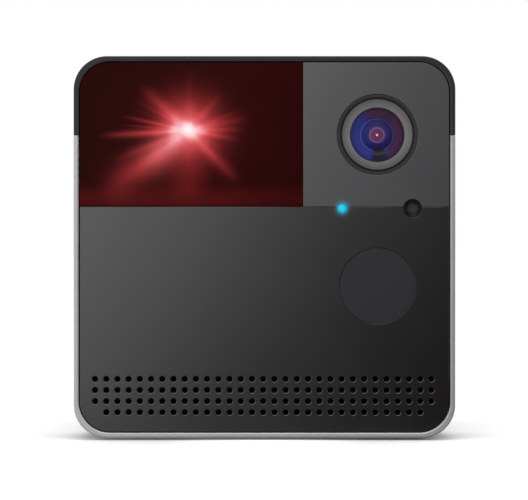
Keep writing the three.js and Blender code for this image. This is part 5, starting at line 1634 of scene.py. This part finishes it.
def floor_material():
    """White, with a painted shadow at the foot's ends and painted light that pales the shadow ahead of the
    face, and graded by itself where the face mirrors it.
    """
    material, tree = new_material("floor_white")
    graph = Graph(tree)
    x, y, _ = graph.parts(graph.millimetres())
    across = abs(x)
    aside = graph.most(abs(across - SHADE_ASIDE) - SHADE_HALF, 0.0) / -SHADE_FADE
    depth = (y + SHADE_AHEAD) / SHADE_DEPTH
    shade = graph.exp(aside - depth * depth) * FLOOR_SHADE
    level = split_by_ray(graph, FLOOR_SEEN, FLOOR_LIT, "Is Camera Ray") * (1.0 - shade)
    white = graph.get("ShaderNodeBsdfDiffuse", {"Color": graph.combined(level, level, level)})
    ahead = graph.step(y, *AHEAD_DEPTHS) * graph.step(across, *AHEAD_SIDES)
    lift = split_by_ray(graph, graph.fused(ahead, FLOOR_AHEAD, FLOOR_LIFT), 0.0, "Is Camera Ray")
    lift = graph.get("ShaderNodeEmission", {"Strength": lift})
    white = graph.get("ShaderNodeAddShader", {0: white, 1: lift})
    x, y, _ = graph.parts(graph.position())
    glow = graph.math("MINIMUM", graph.exp(x * FLOOR_FALL) * FLOOR_MIDDLE, 1.0)
    graded = graph.get("ShaderNodeEmission", {"Strength": glow})
    mirrored = graph.get("ShaderNodeLightPath", output="Is Glossy Ray")
    share = graph.step(y, 0.0, -0.08) * mirrored
    shader = graph.get("ShaderNodeMixShader", {0: share, 1: white, 2: graded})
    graph.node("ShaderNodeOutputMaterial", {"Surface": shader})
    return material


def make_floor():
    corners = [(-12, -4, 0), (12, -4, 0), (12, 30, 0), (-12, 30, 0)]
    stage_sheet("floor", corners, floor_material())


def make_card():
    """A graded card behind the camera, seen only in reflections: bright at the left, dark at the right."""
    half, y, middle = CARD_HALF, CAMERA_PLACE[1] - 0.03, CAMERA_PLACE[2]
    material, tree = new_material("card_graded")
    graph = Graph(tree)
    x, _, z = graph.parts(graph.position())
    slope = graph.fused(z - middle, CARD_RISE, x * CARD_FALL)
    level = graph.math("MINIMUM", graph.exp(slope) * CARD_MIDDLE, CARD_FULL)
    shader = graph.get("ShaderNodeEmission", {"Color": (0.97, 0.98, 1.0), "Strength": level})
    graph.node("ShaderNodeOutputMaterial", {"Surface": shader})
    corners = [(x, y, middle + z) for x, z in ((-half, -half), (half, -half), (half, half), (-half, half))]
    card = stage_sheet("reflection_card", corners, material)
    card.visible_camera = False
    card.visible_diffuse = False
    card.visible_transmission = False
    card.visible_shadow = False


def make_light(name, place, target, size, power):
    data = bpy.data.lights.new(name, "AREA")
    data.shape = "RECTANGLE"
    data.size, data.size_y = size
    data.energy = power
    lamp = add_object(name, data)
    lamp.location = place
    lamp.rotation_euler = (Vector(target) - Vector(place)).to_track_quat("-Z", "Y").to_euler()


def make_camera():
    data = bpy.data.cameras.new("camera")
    data.sensor_width = 36
    data.lens = CAMERA_LENS
    camera = add_object("camera", data)
    camera.location = CAMERA_PLACE
    camera.rotation_euler = (math.pi / 2, 0, 0)
    bpy.context.scene.camera = camera


# Operators, panel and main


class PETCAM_OT_finishes(bpy.types.Operator):
    """Make every finish and give the CAD nodes theirs"""

    bl_idname = "pet_camera.finishes"
    bl_label = "Finishes"

    def execute(self, context):
        finishes.update(make_materials())
        for row in frame["record"]["subparts"]:
            node = frame["nodes"][row["node"]]
            node.data.materials.clear()
            node.data.materials.append(finishes[SLOT_FINISH[row["material_slot"]]])
        return {"FINISHED"}


class PETCAM_OT_shell(bpy.types.Operator):
    """Make the aluminium sleeve and the radio hood"""

    bl_idname = "pet_camera.shell"
    bl_label = "Sleeve and Hood"

    def execute(self, context):
        make_sleeve()
        make_hood()
        return {"FINISHED"}


class PETCAM_OT_face(bpy.types.Operator):
    """Make the perforated front panel, the camera panel and the two windows"""

    bl_idname = "pet_camera.face"
    bl_label = "Face Panels"

    def execute(self, context):
        make_front_panel()
        make_face_panels()
        return {"FINISHED"}


class PETCAM_OT_lens(bpy.types.Operator):
    """Make the lens with its bezel, the status light and the light sensor"""

    bl_idname = "pet_camera.lens"
    bl_label = "Lens and Indicators"

    def execute(self, context):
        make_lens()
        make_indicators()
        return {"FINISHED"}


class PETCAM_OT_rear(bpy.types.Operator):
    """Make the rear cover, its screws, the power socket and the pairing button"""

    bl_idname = "pet_camera.rear"
    bl_label = "Rear"

    def execute(self, context):
        make_rear_cover()
        make_rear_screws()
        make_socket()
        make_button()
        return {"FINISHED"}


class PETCAM_OT_underside(bpy.types.Operator):
    """Make the rubber foot and the threaded tripod insert"""

    bl_idname = "pet_camera.underside"
    bl_label = "Underside"

    def execute(self, context):
        make_foot()
        make_tripod_insert()
        return {"FINISHED"}


class PETCAM_OT_stage(bpy.types.Operator):
    """Make the floor, the light, the reflection card and the camera"""

    bl_idname = "pet_camera.stage"
    bl_label = "Stage"

    def execute(self, context):
        make_world()
        make_floor()
        make_card()
        make_light("key_softbox", (-0.02, -0.7, 0.85), (0, 0, 0.04), (0.7, 0.5), 2.2)
        make_camera()
        context.scene.view_settings.view_transform = "Standard"
        return {"FINISHED"}


OPERATORS = (
    PETCAM_OT_finishes,
    PETCAM_OT_shell,
    PETCAM_OT_face,
    PETCAM_OT_lens,
    PETCAM_OT_rear,
    PETCAM_OT_underside,
    PETCAM_OT_stage,
)


class PETCAM_PT_panel(bpy.types.Panel):
    """Lists the pet camera's pieces, sizes and colours"""

    bl_idname = "PETCAM_PT_panel"
    bl_label = "Pet Camera"
    bl_space_type = "VIEW_3D"
    bl_region_type = "UI"
    bl_category = "Pet Camera"

    def draw(self, context):
        column = self.layout.column()
        for operator in OPERATORS:
            column.operator(operator.bl_idname)
        for group in (sizes(), colours()):
            for name in group.bl_rna.properties.keys():
                if name not in ("rna_type", "name"):
                    column.prop(group, name)


CLASSES = (PetCameraSizes, PetCameraColours, *OPERATORS, PETCAM_PT_panel)


def register():
    for cls in CLASSES:
        bpy.utils.register_class(cls)
    bpy.types.Scene.pet_camera_sizes = PointerProperty(type=PetCameraSizes)
    bpy.types.Scene.pet_camera_colours = PointerProperty(type=PetCameraColours)


def unregister():
    del bpy.types.Scene.pet_camera_colours
    del bpy.types.Scene.pet_camera_sizes
    for cls in reversed(CLASSES):
        bpy.utils.unregister_class(cls)


def main():
    register()
    bpy.ops.pet_camera.finishes()
    bpy.ops.pet_camera.shell()
    bpy.ops.pet_camera.face()
    bpy.ops.pet_camera.lens()
    bpy.ops.pet_camera.rear()
    bpy.ops.pet_camera.underside()
    bpy.ops.pet_camera.stage()


if __name__ == "__main__":
    main()
